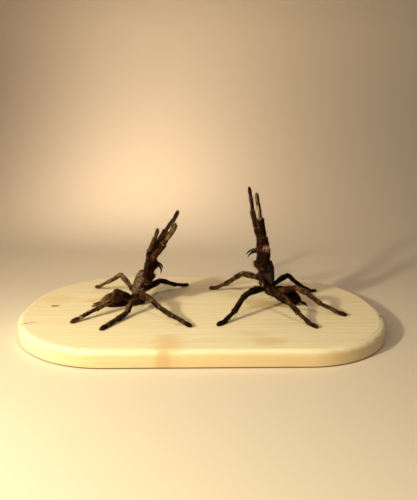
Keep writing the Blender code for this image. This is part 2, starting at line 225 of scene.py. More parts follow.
# How light each limb's hair is, from 0, near black, to about 1, light brown: partly its own wear and dust,
# and partly painted shade, as limbs that lie in shadow were set darker
LIMB_WEAR_AND_PAINTED_SHADE = {
    "left": {"leg_1_near": 0.50, "leg_1_far": 0.45, "leg_2_near": 0.62, "leg_2_far": 0.08,
             "leg_3_near": 0.66, "leg_3_far": 0.15, "leg_4_near": 0.95, "leg_4_far": 1.35,
             "pedipalp_near": 0.52, "pedipalp_far": 0.3},
    "right": {"leg_1_near": 0.04, "leg_1_far": 0.36, "leg_2_near": 0.10, "leg_2_far": 0.75,
              "leg_3_near": 0.42, "leg_3_far": 0.08, "leg_4_near": 1.05, "leg_4_far": 0.18,
              "pedipalp_near": 0.40, "pedipalp_far": 0.3},
}
# The segments that differ from the rest of their limb
SEGMENT_WEAR = {
    "left_leg_2_near": {"femur": 0.85, "patella": 0.4},
    "left_leg_4_near": {"femur": 0.0, "patella": 0.45},
    "left_leg_1_near": {"femur": 0.2, "patella": 0.12, "tibia": 0.14},
    "left_leg_1_far": {"patella": 0.1, "tibia": 0.0},
    "right_leg_2_far": {"femur": 1.0},
    "right_leg_4_near": {"femur": 0.25},
    "right_leg_1_near": {"metatarsus": 0.25},
}

# How thick the limbs are that have shrivelled more or less than the others
SHRIVELLED = {
    "left_leg_2_far": 0.92, "left_leg_2_near": 0.94, "left_leg_4_far": 0.84, "left_leg_4_near": 0.94,
    "right_leg_2_near": 1.06, "right_leg_4_far": 0.90, "right_leg_1_far": 0.88,
}

# The raised legs whose last segments are slimmer than the others
SLIM_SEGMENTS = {
    "left_leg_1_far": {"metatarsus": 0.88, "tarsus": 0.82},
    "right_leg_1_near": {"metatarsus": 0.757, "tarsus": 0.705},
    "right_leg_1_far": {"metatarsus": 0.88, "tarsus": 0.82},
}

PAD_ROLL = 10      # the raised limbs turn their soft undersides a little to the near side

# The soft brush under the feet: how light it is, and how light the metatarsus behind it
PAD_LIGHT = {
    "left_leg_1_near": (0.40, 0.05),
    "left_leg_1_far": (0.3, 0.12),
    "left_pedipalp_near": (0.2, 0.0),
    "right_leg_1_near": (0.5, 0.28),
    "right_pedipalp_near": (0.5, 0.0),
}
COMMON_PAD_LIGHT = (0.12, 0.0)
FOOT_WEAR = 0.35                      # the feet are darker than the rest of the limb

# How light the skin at a joint shows: the joint's number from the hip, and a share
JOINT_LIGHT = {
    "left_leg_1_near": {0: 0.4, 3: 1.0, 2: 0.2},
    "left_leg_1_far": {3: 0.2},
    "left_leg_2_near": {0: 0.9, 1: 0.4, 2: 0.7, 3: 0.5, 4: 0.3},
    "left_leg_3_near": {0: 0.4, 4: 0.5},
    "left_leg_4_near": {2: 0.8, 4: 0.7},
    "left_pedipalp_near": {0: 1.0, 1: 0.25, 2: 0.15},
    "right_leg_1_near": {3: 0.7},
    "right_leg_1_far": {2: 0.3, 3: 0.15},
    "right_leg_2_near": {0: 1.0},
    "right_leg_2_far": {1: 0.6, 3: 0.6},
    "right_leg_3_near": {0: 0.5, 2: 0.4},
    "right_leg_4_near": {1: 0.5, 3: 0.5},
    "right_pedipalp_near": {2: 0.3, 3: 0.3},
}
COMMON_JOINT_LIGHT = 0.06
TORN_JOINT = ("right_leg_1_near", 1)  # one joint's skin is torn and pinkish

BOARD_TOP = 15.0
PRESSED_TO = BOARD_TOP + 0.05         # skin that would sink into the board is flattened here

# Marks on the board.  Clouds have a place, a half size along the grain and across it, and
# a strength; knots have a place, a size and a strength.
BOARD_MARKS = {
    "front cloud": ((-31, -88), (14, 20), 0.55),
    "front right cloud": ((50, -84), (17, 9), 0.5),
    "right hand cloud": ((40, -70), (14, 6), 0.35),
    "cloud under the right animal": ((60, 2), (24, 17), 0.55),
    "left back cloud": ((-112, 12), (14, 7), 0.5),
    "left edge cloud": ((-152, 14), (22, 16), 0.35),
}
BOARD_KNOTS = {
    "back left": ((-147.5, -3.6), 3.4, 0.85),
    "pit": ((-24.8, -51.3), 2.6, 0.45),
    "front streak": ((-102.3, -97.5), 2.0, 0.25),
    "front edge": ((-34.9, -103.5), 4.4, 0.5),
}
CRACK = ((-170, -53), (-148.6, -42.8))
NICK = (168.5, -31.0)
NICK_SIZE = (1.6, 3.2)
PITH = (24.0, -70.0)                  # where the tree's middle ran: across the board, and down

# The cutter's step: the height that it is cut down to, where it begins along the board, and
# its far and near ends across it
LEDGE_FOOT = 10.0
LEDGE_START = (95, 130)
LEDGE_FAR_END = (-30, -8)
LEDGE_NEAR_END = (-102, -88)


# ---------------------------------------------------------------- sizes and colours


def colour(name, description, default):
    """A colour property."""
    return bpy.props.FloatVectorProperty(
        name=name, description=description, default=default, subtype="COLOR", min=0, max=1)


def length(name, description, default):
    """A length property; its default is in millimetres."""
    return bpy.props.FloatProperty(
        name=name, description=description, default=default * MM, unit="LENGTH", min=0, precision=5)


def amount(name, description, default, unit="NONE"):
    """A plain number, or one with a unit."""
    return bpy.props.FloatProperty(name=name, description=description, default=default, unit=unit, min=0)


def share(name, description, default):
    """A share between nothing and all."""
    return bpy.props.FloatProperty(
        name=name, description=description, default=default, subtype="FACTOR", min=0, max=1)


class SpecimenBoard(bpy.types.PropertyGroup):
    """The pine board's shape and colours."""

    corner_radius: length("Corner radius", "Radius of the board's round ends", 93)
    roundover: length("Roundover", "Radius of the rounded upper edge", 5.5)
    foot_bevel: length("Foot bevel", "Bevel along the underside's edge", 1.5)
    ledge: length("Ledge", "Height of the cutter's step along the right end", 0.35)
    torn_grain: length("Torn grain", "How rough the sawn round ends are", 0.36)
    ring_spacing: length("Ring spacing", "Distance between the wood's growth rings", 3.6)
    pale: colour("Early wood", "Colour between the growth rings", (0.93, 0.78, 0.54))
    dark: colour("Late wood", "Colour of the growth rings", (0.82, 0.59, 0.34))
    stain: colour("Cloud", "Colour of the resinous clouds", (0.80, 0.49, 0.20))
    knot: colour("Knot", "Colour of the knots", (0.30, 0.14, 0.05))
    edge: colour("Edge", "Colour of the long planed edges", (0.62, 0.42, 0.20))
    end_grain: colour("End grain", "Colour of the torn round ends", (0.76, 0.67, 0.48))
    # also the colour of the painted shadow line along the board's foot
    crack: colour("Crack", "Colour inside cracks and nicks", (0.12, 0.06, 0.02))


class SpecimenSkin(bpy.types.PropertyGroup):
    """The dried chitin of limbs, bodies and jaws."""

    slimness: share("Slimness", "The skin's thickness, as a share of the hairy limb's", 0.95)
    shrinkage: share("Shrinkage", "How deep the dried limbs' creases are", 0.16)
    chitin: colour("Chitin", "The dark chitin of the limbs", (0.007, 0.0018, 0.0005))
    brown: colour("Brown chitin", "Its lighter, worn places", (0.10, 0.031, 0.009))
    membrane: colour("Membrane", "The pale skin at the joints", (0.52, 0.35, 0.21))
    pad: colour("Foot pad", "The brush of fine hair under the raised feet", (0.34, 0.215, 0.10))
    red: colour("Red skin", "The reddish skin at waist and hips", (0.14, 0.028, 0.012))
    sore: colour("Torn skin", "The pinkish skin where a joint is torn", (0.40, 0.18, 0.125))
    left_back: colour("Left back", "The left carapace's velvet", (0.24, 0.14, 0.08))
    right_back: colour("Right back", "The right carapace's velvet", (0.040, 0.028, 0.012))
    abdomen: colour("Abdomen", "The shrunken abdomen's skin", (0.008, 0.0035, 0.0022))
    fang: colour("Fang", "The glossy fangs", (0.004, 0.0022, 0.0016))


class SpecimenHair(bpy.types.PropertyGroup):
    """The hair of the two animals."""

    down_length: length("Down length", "Length of the short down", 1.05)
    down_per_square_mm: amount("Down density", "Short hairs on a square millimetre", 4.0)
    bristle_length: length("Bristle length", "Length of the long bristles", 2.3)
    bristle_per_square_mm: amount("Bristle density", "Long bristles on a square millimetre", 0.38)
    thickness: length("Thickness", "Diameter of a hair at its root", 0.17)
    black: colour("Black hair", "The darkest hair", (0.0045, 0.0011, 0.0003))
    dark: colour("Dark hair", "The common dark brown hair", (0.019, 0.0045, 0.0009))
    red: colour("Red hair", "Reddish brown hair", (0.088, 0.0250, 0.0060))
    olive: colour("Olive hair", "The dull velvet of the carapaces", (0.060, 0.034, 0.016))
    brown: colour("Brown hair", "Dusty olive brown hair", (0.22, 0.108, 0.034))
    tan: colour("Tan hair", "The light hair of backs and pads", (0.43, 0.275, 0.135))
    cream: colour("Cream hair", "The palest hair, round the joints", (0.72, 0.54, 0.36))


class SpecimenStage(bpy.types.PropertyGroup):
    """The floor, the lights and the camera."""

    floor: colour("Floor", "The pale sweep that the board stands on", (0.80, 0.66, 0.55))
    sweep_start: length("Sweep start", "How far behind the board's middle the sweep rises", 115)
    sweep_depth: length("Sweep depth", "How much further back the backdrop stands", 660)
    sweep_height: length("Sweep height", "Height over which the sweep curves up", 480)
    key_power: amount("Key light", "The low warm light on the left", 5.0, "POWER")
    soft_power: amount("Soft light", "The broad light beside the key", 1.8, "POWER")
    key_colour: colour("Key colour", "The colour of the key and soft lights", (1.0, 0.965, 0.65))
    wash_power: amount("Wash light", "The light over the animals, on the backdrop", 0.58, "POWER")
    wash_colour: colour("Wash colour", "The wash light's colour", (1.0, 0.78, 0.54))
    backdrop_power: amount("Backdrop light", "The light close to the backdrop", 0.9, "POWER")
    backdrop_colour: colour("Backdrop colour", "The backdrop light's colour", (1.0, 0.84, 0.60))
    side_power: amount("Side light", "The small high light on the right", 0.62, "POWER")
    side_colour: colour("Side colour", "The side light's colour", (1.0, 0.90, 0.72))
    fill: share("Fill", "The room's own soft light", 0.06)
    fill_colour: colour("Fill colour", "The fill's colour", (1.0, 0.90, 0.78))
    lens: amount("Lens", "The camera's focal length", 30.02, "CAMERA")


# ---------------------------------------------------------------- shader maths


NOISE_ROUGHNESS = 0.55


class Socket:
    """One output of a shader node.  Arithmetic on it adds Math nodes."""

    def __init__(self, finish, output):
        self.finish = finish
        self.output = output

    def math(self, operation, *values):
        return self.finish.node("ShaderNodeMath", {"operation": operation}, values)

    def __add__(self, other):
        return self.math("ADD", self, other)

    def __sub__(self, other):
        return self.math("SUBTRACT", self, other)

    def __rsub__(self, other):
        return self.math("SUBTRACT", other, self)

    def __mul__(self, other):
        return self.math("MULTIPLY", self, other)

    def __truediv__(self, other):
        return self.math("DIVIDE", self, other)

    def __pow__(self, other):
        return self.math("POWER", self, other)

    def __abs__(self):
        return self.math("ABSOLUTE", self)

    __radd__ = __add__
    __rmul__ = __mul__

    def smallest(self, other):
        return self.math("MINIMUM", self, other)

    def largest(self, other):
        return self.math("MAXIMUM", self, other)

    def wave(self):
        """A sine of it, between 0 and 1."""
        return self.math("SINE", self) * 0.5 + 0.5

    def between(self, low, high):
        """0 at low and 1 at high, with a smooth rise between them."""
        settings = {"interpolation_type": "SMOOTHSTEP"}
        sockets = {"Value": self, "From Min": low, "From Max": high}
        return self.finish.node("ShaderNodeMapRange", settings, sockets)

    def clipped(self):
        """No more than 1."""
        return self.smallest(1.0)


class Finish:
    """A material in the making: a Principled shader and the nodes that feed it."""

    def __init__(self, name, **constants):
        self.material = bpy.data.materials.new(name)
        self.material.use_nodes = True
        self.nodes = self.material.node_tree.nodes
        self.links = self.material.node_tree.links
        self.shader = self.nodes["Principled BSDF"]
        self.sockets = {made.name.lower().replace(" ", "_"): made for made in self.shader.inputs}
        for name, value in constants.items():
            self.feed(self.sockets[name], value)
        self.place = self.node("ShaderNodeTexCoord", out="Object")

    def feed(self, socket, value):
        """Link a socket or set its value; a colour gets its fourth number."""
        if isinstance(value, Socket):
            self.links.new(value.output, socket)
            return
        if socket.type == "RGBA":
            value = (*value[:3], 1.0)
        socket.default_value = value

    def node(self, kind, settings=None, sockets=(), out=None):
        """Add a node, set it, feed its sockets by name or in order, and give one output."""
        made = self.nodes.new(kind)
        for key, value in (settings or {}).items():
            if key == "stops":
                self.set_stops(made.color_ramp, value)
            else:
                setattr(made, key, value)
        shown = [socket for socket in made.inputs if socket.enabled]
        named = {socket.name: socket for socket in reversed(shown)}
        if isinstance(sockets, dict):
            for key, value in sockets.items():
                self.feed(named[key], value)
        else:
            for socket, value in zip(shown, sockets):
                self.feed(socket, value)
        outputs = [socket for socket in made.outputs if socket.enabled]
        chosen = outputs[0] if out is None else next(o for o in outputs if o.name == out)
        return Socket(self, chosen)

    @staticmethod
    def set_stops(ramp, stops):
        """Give a colour ramp its stops: a position and a colour each."""
        while len(ramp.elements) < len(stops):
            ramp.elements.new(1.0)
        for element, (position, tint) in zip(ramp.elements, stops):
            element.position = position
            element.color = (*tint[:3], 1.0)

    def mark(self, name):
        """One of the shares kept on the mesh's points."""
        return self.node("ShaderNodeAttribute", {"attribute_name": name}, out="Fac")

    def noise(self, scale, detail):
        """Cloudy unevenness; its waves to a metre are one number, or one for each axis."""
        where = self.place
        if isinstance(scale, tuple):
            where = self.node("ShaderNodeVectorMath", {"operation": "MULTIPLY"}, (where, scale))
            scale = 1.0
        sockets = {"Vector": where, "Scale": scale, "Detail": detail, "Roughness": NOISE_ROUGHNESS}
        return self.node("ShaderNodeTexNoise", {}, sockets, out="Fac")

    def cells(self, scale):
        """The distance to the nearest of many scattered points."""
        sockets = {"Vector": self.place, "Scale": scale}
        return self.node("ShaderNodeTexVoronoi", {}, sockets, out="Distance")

    def mix(self, factor, one, other):
        """One colour where the factor is 0, and the other where it is 1."""
        sockets = {"Factor": factor, "A": one, "B": other}
        return self.node("ShaderNodeMix", {"data_type": "RGBA"}, sockets)

    def marked(self, tint, name, strength, over):
        """A tint with another colour over it, where the mesh has a mark."""
        return self.mix((self.mark(name) * strength).clipped(), tint, tuple(over))

    def ramp(self, factor, stops):
        """A colour that goes through the stops as the factor rises."""
        return self.node("ShaderNodeValToRGB", {"stops": stops}, {"Fac": factor}, out="Color")

    def axes(self, vector=None):
        """The three numbers of a vector, by default of the place on the piece."""
        vector = vector or self.place
        return [self.node("ShaderNodeSeparateXYZ", {}, (vector,), out=axis) for axis in "XYZ"]

    def bump(self, height, distance, strength):
        """Feed the shader's normal from a height; the distance is in metres."""
        sockets = {"Strength": strength, "Distance": distance, "Height": height}
        self.feed(self.sockets["normal"], self.node("ShaderNodeBump", {}, sockets))

    def done(self, **sockets):
        """Feed the shader's sockets and give the material."""
        for name, value in sockets.items():
            self.feed(self.sockets[name], value)
        return self.material


# ---------------------------------------------------------------- shapes


def unit(vectors):
    """The vectors, each with length 1."""
    vectors = np.asarray(vectors, float)
    return vectors / np.maximum(np.linalg.norm(vectors, axis=-1, keepdims=True), 1e-12)


def direction(heading, pitch):
    """The unit vector at a heading and a pitch, both in degrees."""
    turn, rise = math.radians(heading), math.radians(pitch)
    return np.array((math.cos(rise) * math.cos(turn), math.cos(rise) * math.sin(turn), math.sin(rise)))


def turned(degrees, axis):
    """A rotation about an axis, as a 4 x 4 array."""
    return np.array(Matrix.Rotation(math.radians(degrees), 4, axis))


def moved(place):
    """A move, as a 4 x 4 array."""
    return np.array(Matrix.Translation(place))


def through(matrix, points):
    """Points carried by a 4 x 4 array."""
    points = np.asarray(points, float)
    return points @ matrix[:3, :3].T + matrix[:3, 3]


def smooth(values, low, high):
    """0 at low, 1 at high, and a smooth rise between them."""
    t = np.clip((np.asarray(values, float) - low) / (high - low), 0, 1)
    return t * t * (3 - 2 * t)


def near_zero(values, width):
    """1 where the values are 0, falling off over the width."""
    return np.exp(-(np.asarray(values, float) / width) ** 2)


def swelling(shares):
    """0 at both ends, 1 in the middle."""
    return np.sin(math.pi * np.clip(shares, 0, 1))[:, None]


def angle_between(one, other):
    """How far apart two angles are, in radians."""
    return np.abs((one - other + math.pi) % math.tau - math.pi)


def curve(knots, steps):
    """Points on a smooth curve through the knots, `steps` to each span."""
    knots = np.asarray(knots, float)
    padded = np.vstack((2 * knots[0] - knots[1], knots, 2 * knots[-1] - knots[-2]))
    t = np.arange(steps)[:, None] / steps
    spans = []
    for a, b, c, d in zip(padded, padded[1:], padded[2:], padded[3:]):
        bend = (2 * a - 5 * b + 4 * c - d) + t * (3 * (b - c) + d - a)
        spans.append(b + t / 2 * ((c - a) + t * bend))
    return np.vstack((*spans, knots[-1:]))


def ripple(points, wavelength, seed):
    """Smooth seeded unevenness at each point, about -1 to 1."""
    chance = np.random.default_rng(seed)
    total = np.zeros(points.shape[:-1])
    for _ in range(7):
        wave = unit(chance.normal(size=3)) * math.tau / wavelength * chance.uniform(0.6, 1.5)
        total += np.sin(points @ wave + chance.uniform(0, math.tau))
    return total / 3.0


def patches(points, kind, seed):
    """Seeded patches, 0 outside and 1 inside: their size, and where they start and are full."""
    wavelength, low, high = kind
    return smooth(ripple(points, wavelength, seed), low, high)


def stations(start, end, shares):
    """Points at shares of the way from start to end."""
    return start + (end - start) * shares[:, None]


def ring_angles(sides):
    """Where each point of a ring lies."""
    return math.tau * (np.arange(sides) + 0.5) / sides


def ring_grid(centres, alongs, across, radii, sides, flatness=1.0):
    """Rings of points round a line; angle 0 lies along `across`, a quarter turn on it is up."""
    angles = ring_angles(sides)[None, :, None]
    alongs = np.broadcast_to(unit(alongs), centres.shape)
    wide = unit(across - alongs * (alongs @ across)[:, None])
    high = np.cross(alongs, wide)
    spokes = flatness * np.cos(angles) * wide[:, None] + np.sin(angles) * high[:, None]
    radii = np.reshape(radii, (len(centres), -1, 1))
    return centres[:, None] + radii * spokes


def ring_quads(index):
    """The four-sided faces between rings of points, from the points' numbers."""
    after = np.roll(index, -1, axis=1)
    return np.stack((index[:-1], after[:-1], after[1:], index[1:]), axis=-1).reshape(-1, 4)


CREASE_WIDTH = 0.07
CREASE_DRIFT = 0.7


def creased(shares, sides, depth, seed, count=4):
    """The share of its radius that a dried tube keeps: its wall sinks along a few lines."""
    chance = np.random.default_rng(seed)
    relief = np.zeros((len(shares), sides))
    fade = swelling(shares) ** 0.7
    for _ in range(count):
        middle = chance.uniform(0, math.tau)
        drift = chance.uniform(-CREASE_DRIFT, CREASE_DRIFT)
        turn = np.cos(ring_angles(sides)[None] - middle - drift * (shares[:, None] - 0.5))
        relief -= depth * chance.uniform(0.5, 1.0) * np.exp(-(1 - turn) / CREASE_WIDTH) * fade
    return 1 + relief


# shade darkens the chitin: painted shade in creases, grooves and pits, and a darker colour on blotches,
# eyes and hips
MARKS = ("pale", "pad", "shade", "red", "sore")
HAIR_MARKS = ("density", "reach", "tone")


class Skin:
    """A surface in the making: closed shells of points in millimetres, with their marks."""

    def __init__(self):
        self.points = []
        self.flows = []
        self.quads = []
        self.triangles = []
        self.marks = {name: [] for name in MARKS + HAIR_MARKS}
        self.total = 0

    def add(self, grid, flow, **marks):
        """Add rings as one closed shell.  A mark is a number, or one for each ring or point."""
        rings, sides, _ = grid.shape
        index = self.total + np.arange(rings * sides).reshape(rings, sides)
        first = self.total + rings * sides
        poles = np.stack((grid[0].mean(axis=0), grid[-1].mean(axis=0)))
        start = np.stack((np.roll(index[0], -1), index[0], np.full(sides, first)), axis=-1)
        end = np.stack((index[-1], np.roll(index[-1], -1), np.full(sides, first + 1)), axis=-1)
        self.points.append(np.vstack((grid.reshape(-1, 3), poles)))
        self.quads.append(ring_quads(index))
        self.triangles.append(np.vstack((start, end)))
        flow = np.broadcast_to(flow, grid.shape).reshape(-1, 3)
        self.flows.append(np.vstack((flow, flow[:1], flow[-1:])))
        defaults = {"density": 1.0, "reach": 1.0}
        for name, kept in self.marks.items():
            value = np.asarray(marks.get(name, defaults.get(name, 0.0)), float)
            if value.ndim == 1:
                value = value[:, None]
            value = np.broadcast_to(value, (rings, sides)).reshape(-1)
            kept.append(np.concatenate((value, value[:1], value[-1:])))
        self.total += rings * sides + 2

    def add_ball(self, centre, radius, across, along, stretch=1.0, **marks):
        """Add a rounded lump."""
        turns = np.linspace(0.12, math.pi - 0.12, 11)
        centres = centre - np.cos(turns)[:, None] * along * radius * stretch
        self.add(ring_grid(centres, along, across, radius * np.sin(turns), 18), along, **marks)

    def gathered(self):
        """Points, flows, quads, triangles and marks, each as one array."""
        marks = {name: np.concatenate(kept) for name, kept in self.marks.items()}
        return (np.vstack(self.points), np.vstack(self.flows), np.vstack(self.quads),
                np.vstack(self.triangles), marks)


def face_normals(points, quads):
    """A normal for each four-sided face, as long as twice the face's area."""
    corners = points[quads]
    return np.cross(corners[:, 2] - corners[:, 0], corners[:, 3] - corners[:, 1])


def point_normals(points, quads):
    """The smooth normal at each point of a mesh of four-sided faces."""
    faces = face_normals(points, quads)
    normals = np.zeros_like(points)
    for corner in range(4):
        np.add.at(normals, quads[:, corner], faces)
    return unit(normals)


def mesh_of(name, points, quads, triangles, marks):
    """A smooth mesh in metres from arrays in millimetres."""
    mesh = bpy.data.meshes.new(name)
    corners = np.concatenate((quads.ravel(), triangles.ravel())).astype(np.int32)
    triangle_starts = len(quads) * 4 + np.arange(len(triangles)) * 3
    starts = np.concatenate((np.arange(len(quads)) * 4, triangle_starts))
    mesh.vertices.add(len(points))
    mesh.vertices.foreach_set("co", (points * MM).ravel())
    mesh.loops.add(len(corners))
    mesh.loops.foreach_set("vertex_index", corners)
    mesh.polygons.add(len(starts))
    mesh.polygons.foreach_set("loop_start", starts.astype(np.int32))
    for mark, values in marks.items():
        layer = mesh.attributes.new(mark, "FLOAT", "POINT")
        layer.data.foreach_set("value", values.astype(np.float32))
    mesh.update(calc_edges=True)
    mesh.validate()
    mesh.shade_smooth()
    return mesh


def show(name, mesh, material, node):
    """Make a mesh a piece of the part that stands for one of its solids."""
    mesh.materials.append(material)
    piece = bpy.data.objects.new(name, mesh)
    bpy.context.scene.collection.objects.link(piece)
    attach(piece, BODY)
    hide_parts(node)


def show_skin(name, skin, material, node):
    """Show a skin as one piece, with the marks that its material reads."""
    points, _, quads, triangles, marks = skin.gathered()
    shader_marks = {mark: marks[mark] for mark in MARKS}
    show(name, mesh_of(name, points, quads, triangles, shader_marks), material, node)


# ---------------------------------------------------------------- hair


HAIR_SIDES = 3
DOWN_LIFT = 0.42                     # how far hairs stand up from the skin: 0 flat, 1 upright
DOWN_WIDTH = 0.8                     # how thick the down is beside the bristles
BRISTLE_LIFT = 0.62
BRISTLE_BEND = 0.35
HAIR_DISORDER = 0.16                 # how far hairs stray from their direction
TONE_SPREAD = 0.09                   # and from the tone of their place
HAIR_CURL = 0.08
HAIR_TAPER = 0.55                    # how much of a hair's width goes before the tip closes it
HAIR_ROOT_DEPTH = 0.12
BOARD_CLEARANCE = 0.15               # hairs that come nearer to the board are left out
BRUSH_WIDTH = 0.006                  # half the width of one hair's patch on its colour map
BRUSH_MARGIN = 0.02


def sampled(skin, per_square_mm, chance):
    """Scatter roots over the skin, and give all that a hair needs to know at its root."""
    points, flows, quads, _, marks = skin.gathered()
    normals = point_normals(points, quads)
    areas = np.linalg.norm(face_normals(points, quads), axis=1) / 2
    weights = areas * marks["density"][quads].mean(axis=1)
    count = int(weights.sum() * per_square_mm)
    chosen = quads[np.searchsorted(np.cumsum(weights), chance.uniform(0, weights.sum(), count))]
    u, v = chance.uniform(size=(2, count))
    shares = np.stack(((1 - u) * (1 - v), u * (1 - v), u * v, (1 - u) * v), axis=1)

    def at_root(values):
        return np.einsum("nc,nc...->n...", shares, values[chosen])

    return (at_root(points), unit(at_root(normals)), unit(at_root(flows)),
            at_root(marks["reach"]), at_root(marks["tone"]))


def hair_rings(roots, pointing, bend, lengths, widths, levels):
    """Rings of three points along every hair, then its tip."""
    side = unit(np.cross(pointing, bend + 0.01 * UP))
    other = np.cross(pointing, side)
    angles = math.tau * np.arange(HAIR_SIDES) / HAIR_SIDES
    rings = []
    for level in range(levels):
        t = level / levels
        centre = roots + (pointing * t + bend * t * t) * lengths[:, None]
        width = (widths * (1 - HAIR_TAPER * t))[:, None]
        for angle in angles:
            rings.append(centre + width * (math.cos(angle) * side + math.sin(angle) * other))
    rings.append(roots + (pointing + bend) * lengths[:, None])
    return np.stack(rings, axis=1)


def hair_mesh(name, batches):
    """One mesh of many hairs; each batch has its points, how many levels they have, and tones."""
    points, tones, tips = [], [], []
    faces, brushes = {4: [], 3: []}, {4: [], 3: []}
    total = 0
    for grown, levels, tone in batches:
        count, each, _ = grown.shape
        index = total + np.arange(count * each).reshape(count, each)
        heights = np.append(np.repeat(np.arange(levels) / levels, HAIR_SIDES), 1.0)
        left, right = tone - BRUSH_WIDTH, tone + BRUSH_WIDTH
        for level in range(levels):
            low, high = level / levels, (level + 1) / levels
            for one in range(HAIR_SIDES):
                a, b = level * HAIR_SIDES + one, level * HAIR_SIDES + (one + 1) % HAIR_SIDES
                if level + 1 < levels:
                    face = (a, b, b + HAIR_SIDES, a + HAIR_SIDES)
                    brush = (left, low, right, low, right, high, left, high)
                else:
                    face = (a, b, each - 1)
                    brush = (left, low, right, low, tone, high)
                brush = np.stack([np.broadcast_to(value, count) for value in brush], axis=1)
                faces[len(face)].append(index[:, face])
                brushes[len(face)].append(brush)
        points.append(grown.reshape(-1, 3))
        tones.append(np.repeat(tone, each))
        tips.append(np.tile(heights, count))
        total += count * each
    marks = {"tone": np.concatenate(tones), "tip": np.concatenate(tips)}
    mesh = mesh_of(name, np.vstack(points), np.vstack(faces[4]), np.vstack(faces[3]), marks)
    layer = mesh.uv_layers.new(name="OFBake")
    places = np.concatenate([np.vstack(brushes[sides]).ravel() for sides in (4, 3)])
    layer.data.foreach_set("uv", (BRUSH_MARGIN + (1 - 2 * BRUSH_MARGIN) * places).astype(np.float32))
    return mesh


def grow_hair(name, skin, settings, seed, node, material, down=1.0):
    """Cover a skin with short down and long bristles, as one piece."""
    chance = np.random.default_rng(seed)
    # each kind's density, length, lift, bend, number of rings, and width
    kinds = (
        (settings.down_per_square_mm * down, settings.down_length / MM, DOWN_LIFT, 0.0, 1, DOWN_WIDTH),
        (settings.bristle_per_square_mm, settings.bristle_length / MM, BRISTLE_LIFT, BRISTLE_BEND, 2, 1.0),
    )
    batches = []
    for per_square_mm, base_length, lift, bend, levels, width in kinds:
        roots, normals, flows, reach, tone = sampled(skin, per_square_mm, chance)
        count = len(roots)
        loose = chance.normal(size=(count, 3))
        lifts = (lift * chance.uniform(0.55, 1.3, count))[:, None]
        pointing = unit(normals * lifts + flows * (1 - 0.5 * lifts) + HAIR_DISORDER * loose)
        lengths = base_length * reach * chance.uniform(0.5, 1.25, count)
        widths = settings.thickness / MM / 2 * width * chance.uniform(0.7, 1.2, count)
        curl = flows * bend - normals * bend * 0.4 + HAIR_CURL * chance.normal(size=(count, 3))
        tone = np.clip(tone + TONE_SPREAD * chance.normal(size=count), 0.01, 0.99)
        grown = hair_rings(roots - normals * HAIR_ROOT_DEPTH, pointing, curl, lengths, widths, levels)
        clear = grown[..., 2].min(axis=1) > BOARD_TOP + BOARD_CLEARANCE
        batches.append((grown[clear], levels, tone[clear]))
    show(name, hair_mesh(name, batches), material, node)


# ---------------------------------------------------------------- the animals' finishes


def chitin_finish(name, skin, wear, base=None, brown=None):
    """Dry chitin: near black, worn brown in blotches but darkened by painted shade in its creases, pale at
    the joints.
    """
    finish = Finish(name, specular_ior_level=0.05)
    blotches = finish.noise(160, 4).between(0.42, 0.68)
    fine = finish.noise(900, 3)
    # worn is the blotches' wear less the painted shade that the shade mark lays into creases and grooves
    worn = (blotches * wear + finish.mark("shade") * -0.6 + fine * 0.25 * wear).largest(0.0).clipped()
    tint = finish.mix(worn, base or tuple(skin.chitin), brown or tuple(skin.brown))
    tint = finish.marked(tint, "pad", 0.55 + 0.9 * finish.noise(1400, 2), skin.pad)
    tint = finish.marked(tint, "red", 0.4 + fine, skin.red)
    tint = finish.marked(tint, "sore", 0.3 + 1.1 * fine, skin.sore)
    tint = finish.marked(tint, "pale", 0.55 + 0.8 * fine, skin.membrane)
    finish.bump(finish.cells(2600) * 0.5 + fine, 0.00012, 0.7)
    return finish.done(base_color=tint, roughness=0.36 + 0.4 * fine)


def hair_finish(name, hair, middle="red"):
    """Every hair's colour comes from its own tone, darker at the root."""
    finish = Finish(name, roughness=0.7, specular_ior_level=0.0)
    keys = ("black", "dark", middle, "brown", "tan", "cream")
    stops = [(number / 5, tuple(getattr(hair, key))) for number, key in enumerate(keys)]
    tint = finish.ramp(finish.mark("tone"), stops)
    sockets = {"Vector": tint, "Scale": 0.55 + 0.55 * finish.mark("tip")}
    return finish.done(base_color=finish.node("ShaderNodeVectorMath", {"operation": "SCALE"}, sockets))


def back_finish(name, skin, back):
    """The carapace: dusty velvet over dark chitin, darkened by painted shade in its grooves and pits."""
    finish = Finish(name, specular_ior_level=0.3)
    blotches = finish.noise(420, 4).between(0.35, 0.65)
    fine = finish.noise(1600, 2)
    # the velvet's own blotches, less the painted shade of the shade mark
    velvet_less_painted_shade = (1 - finish.mark("shade")) * (0.35 + 0.75 * blotches)
    tint = finish.mix(velvet_less_painted_shade.clipped(), tuple(skin.chitin), tuple(back))
    tint = finish.marked(tint, "red", 0.4 + fine, skin.red)
    tint = finish.marked(tint, "pale", 1.0, skin.membrane)
    finish.bump(fine, 0.0002, 0.8)
    return finish.done(base_color=tint, roughness=0.55 + 0.3 * fine)


def fang_finish(name, skin):
    """Hard black fangs, brown where they are thin."""
    finish = Finish(name, specular_ior_level=0.3)
    fine = finish.noise(700, 3)
    tint = finish.marked(tuple(skin.fang), "pale", 0.8, skin.red)
    finish.bump(fine, 0.00005, 0.4)
    return finish.done(base_color=tint, roughness=0.28 + 0.16 * fine)


# ---------------------------------------------------------------- limbs


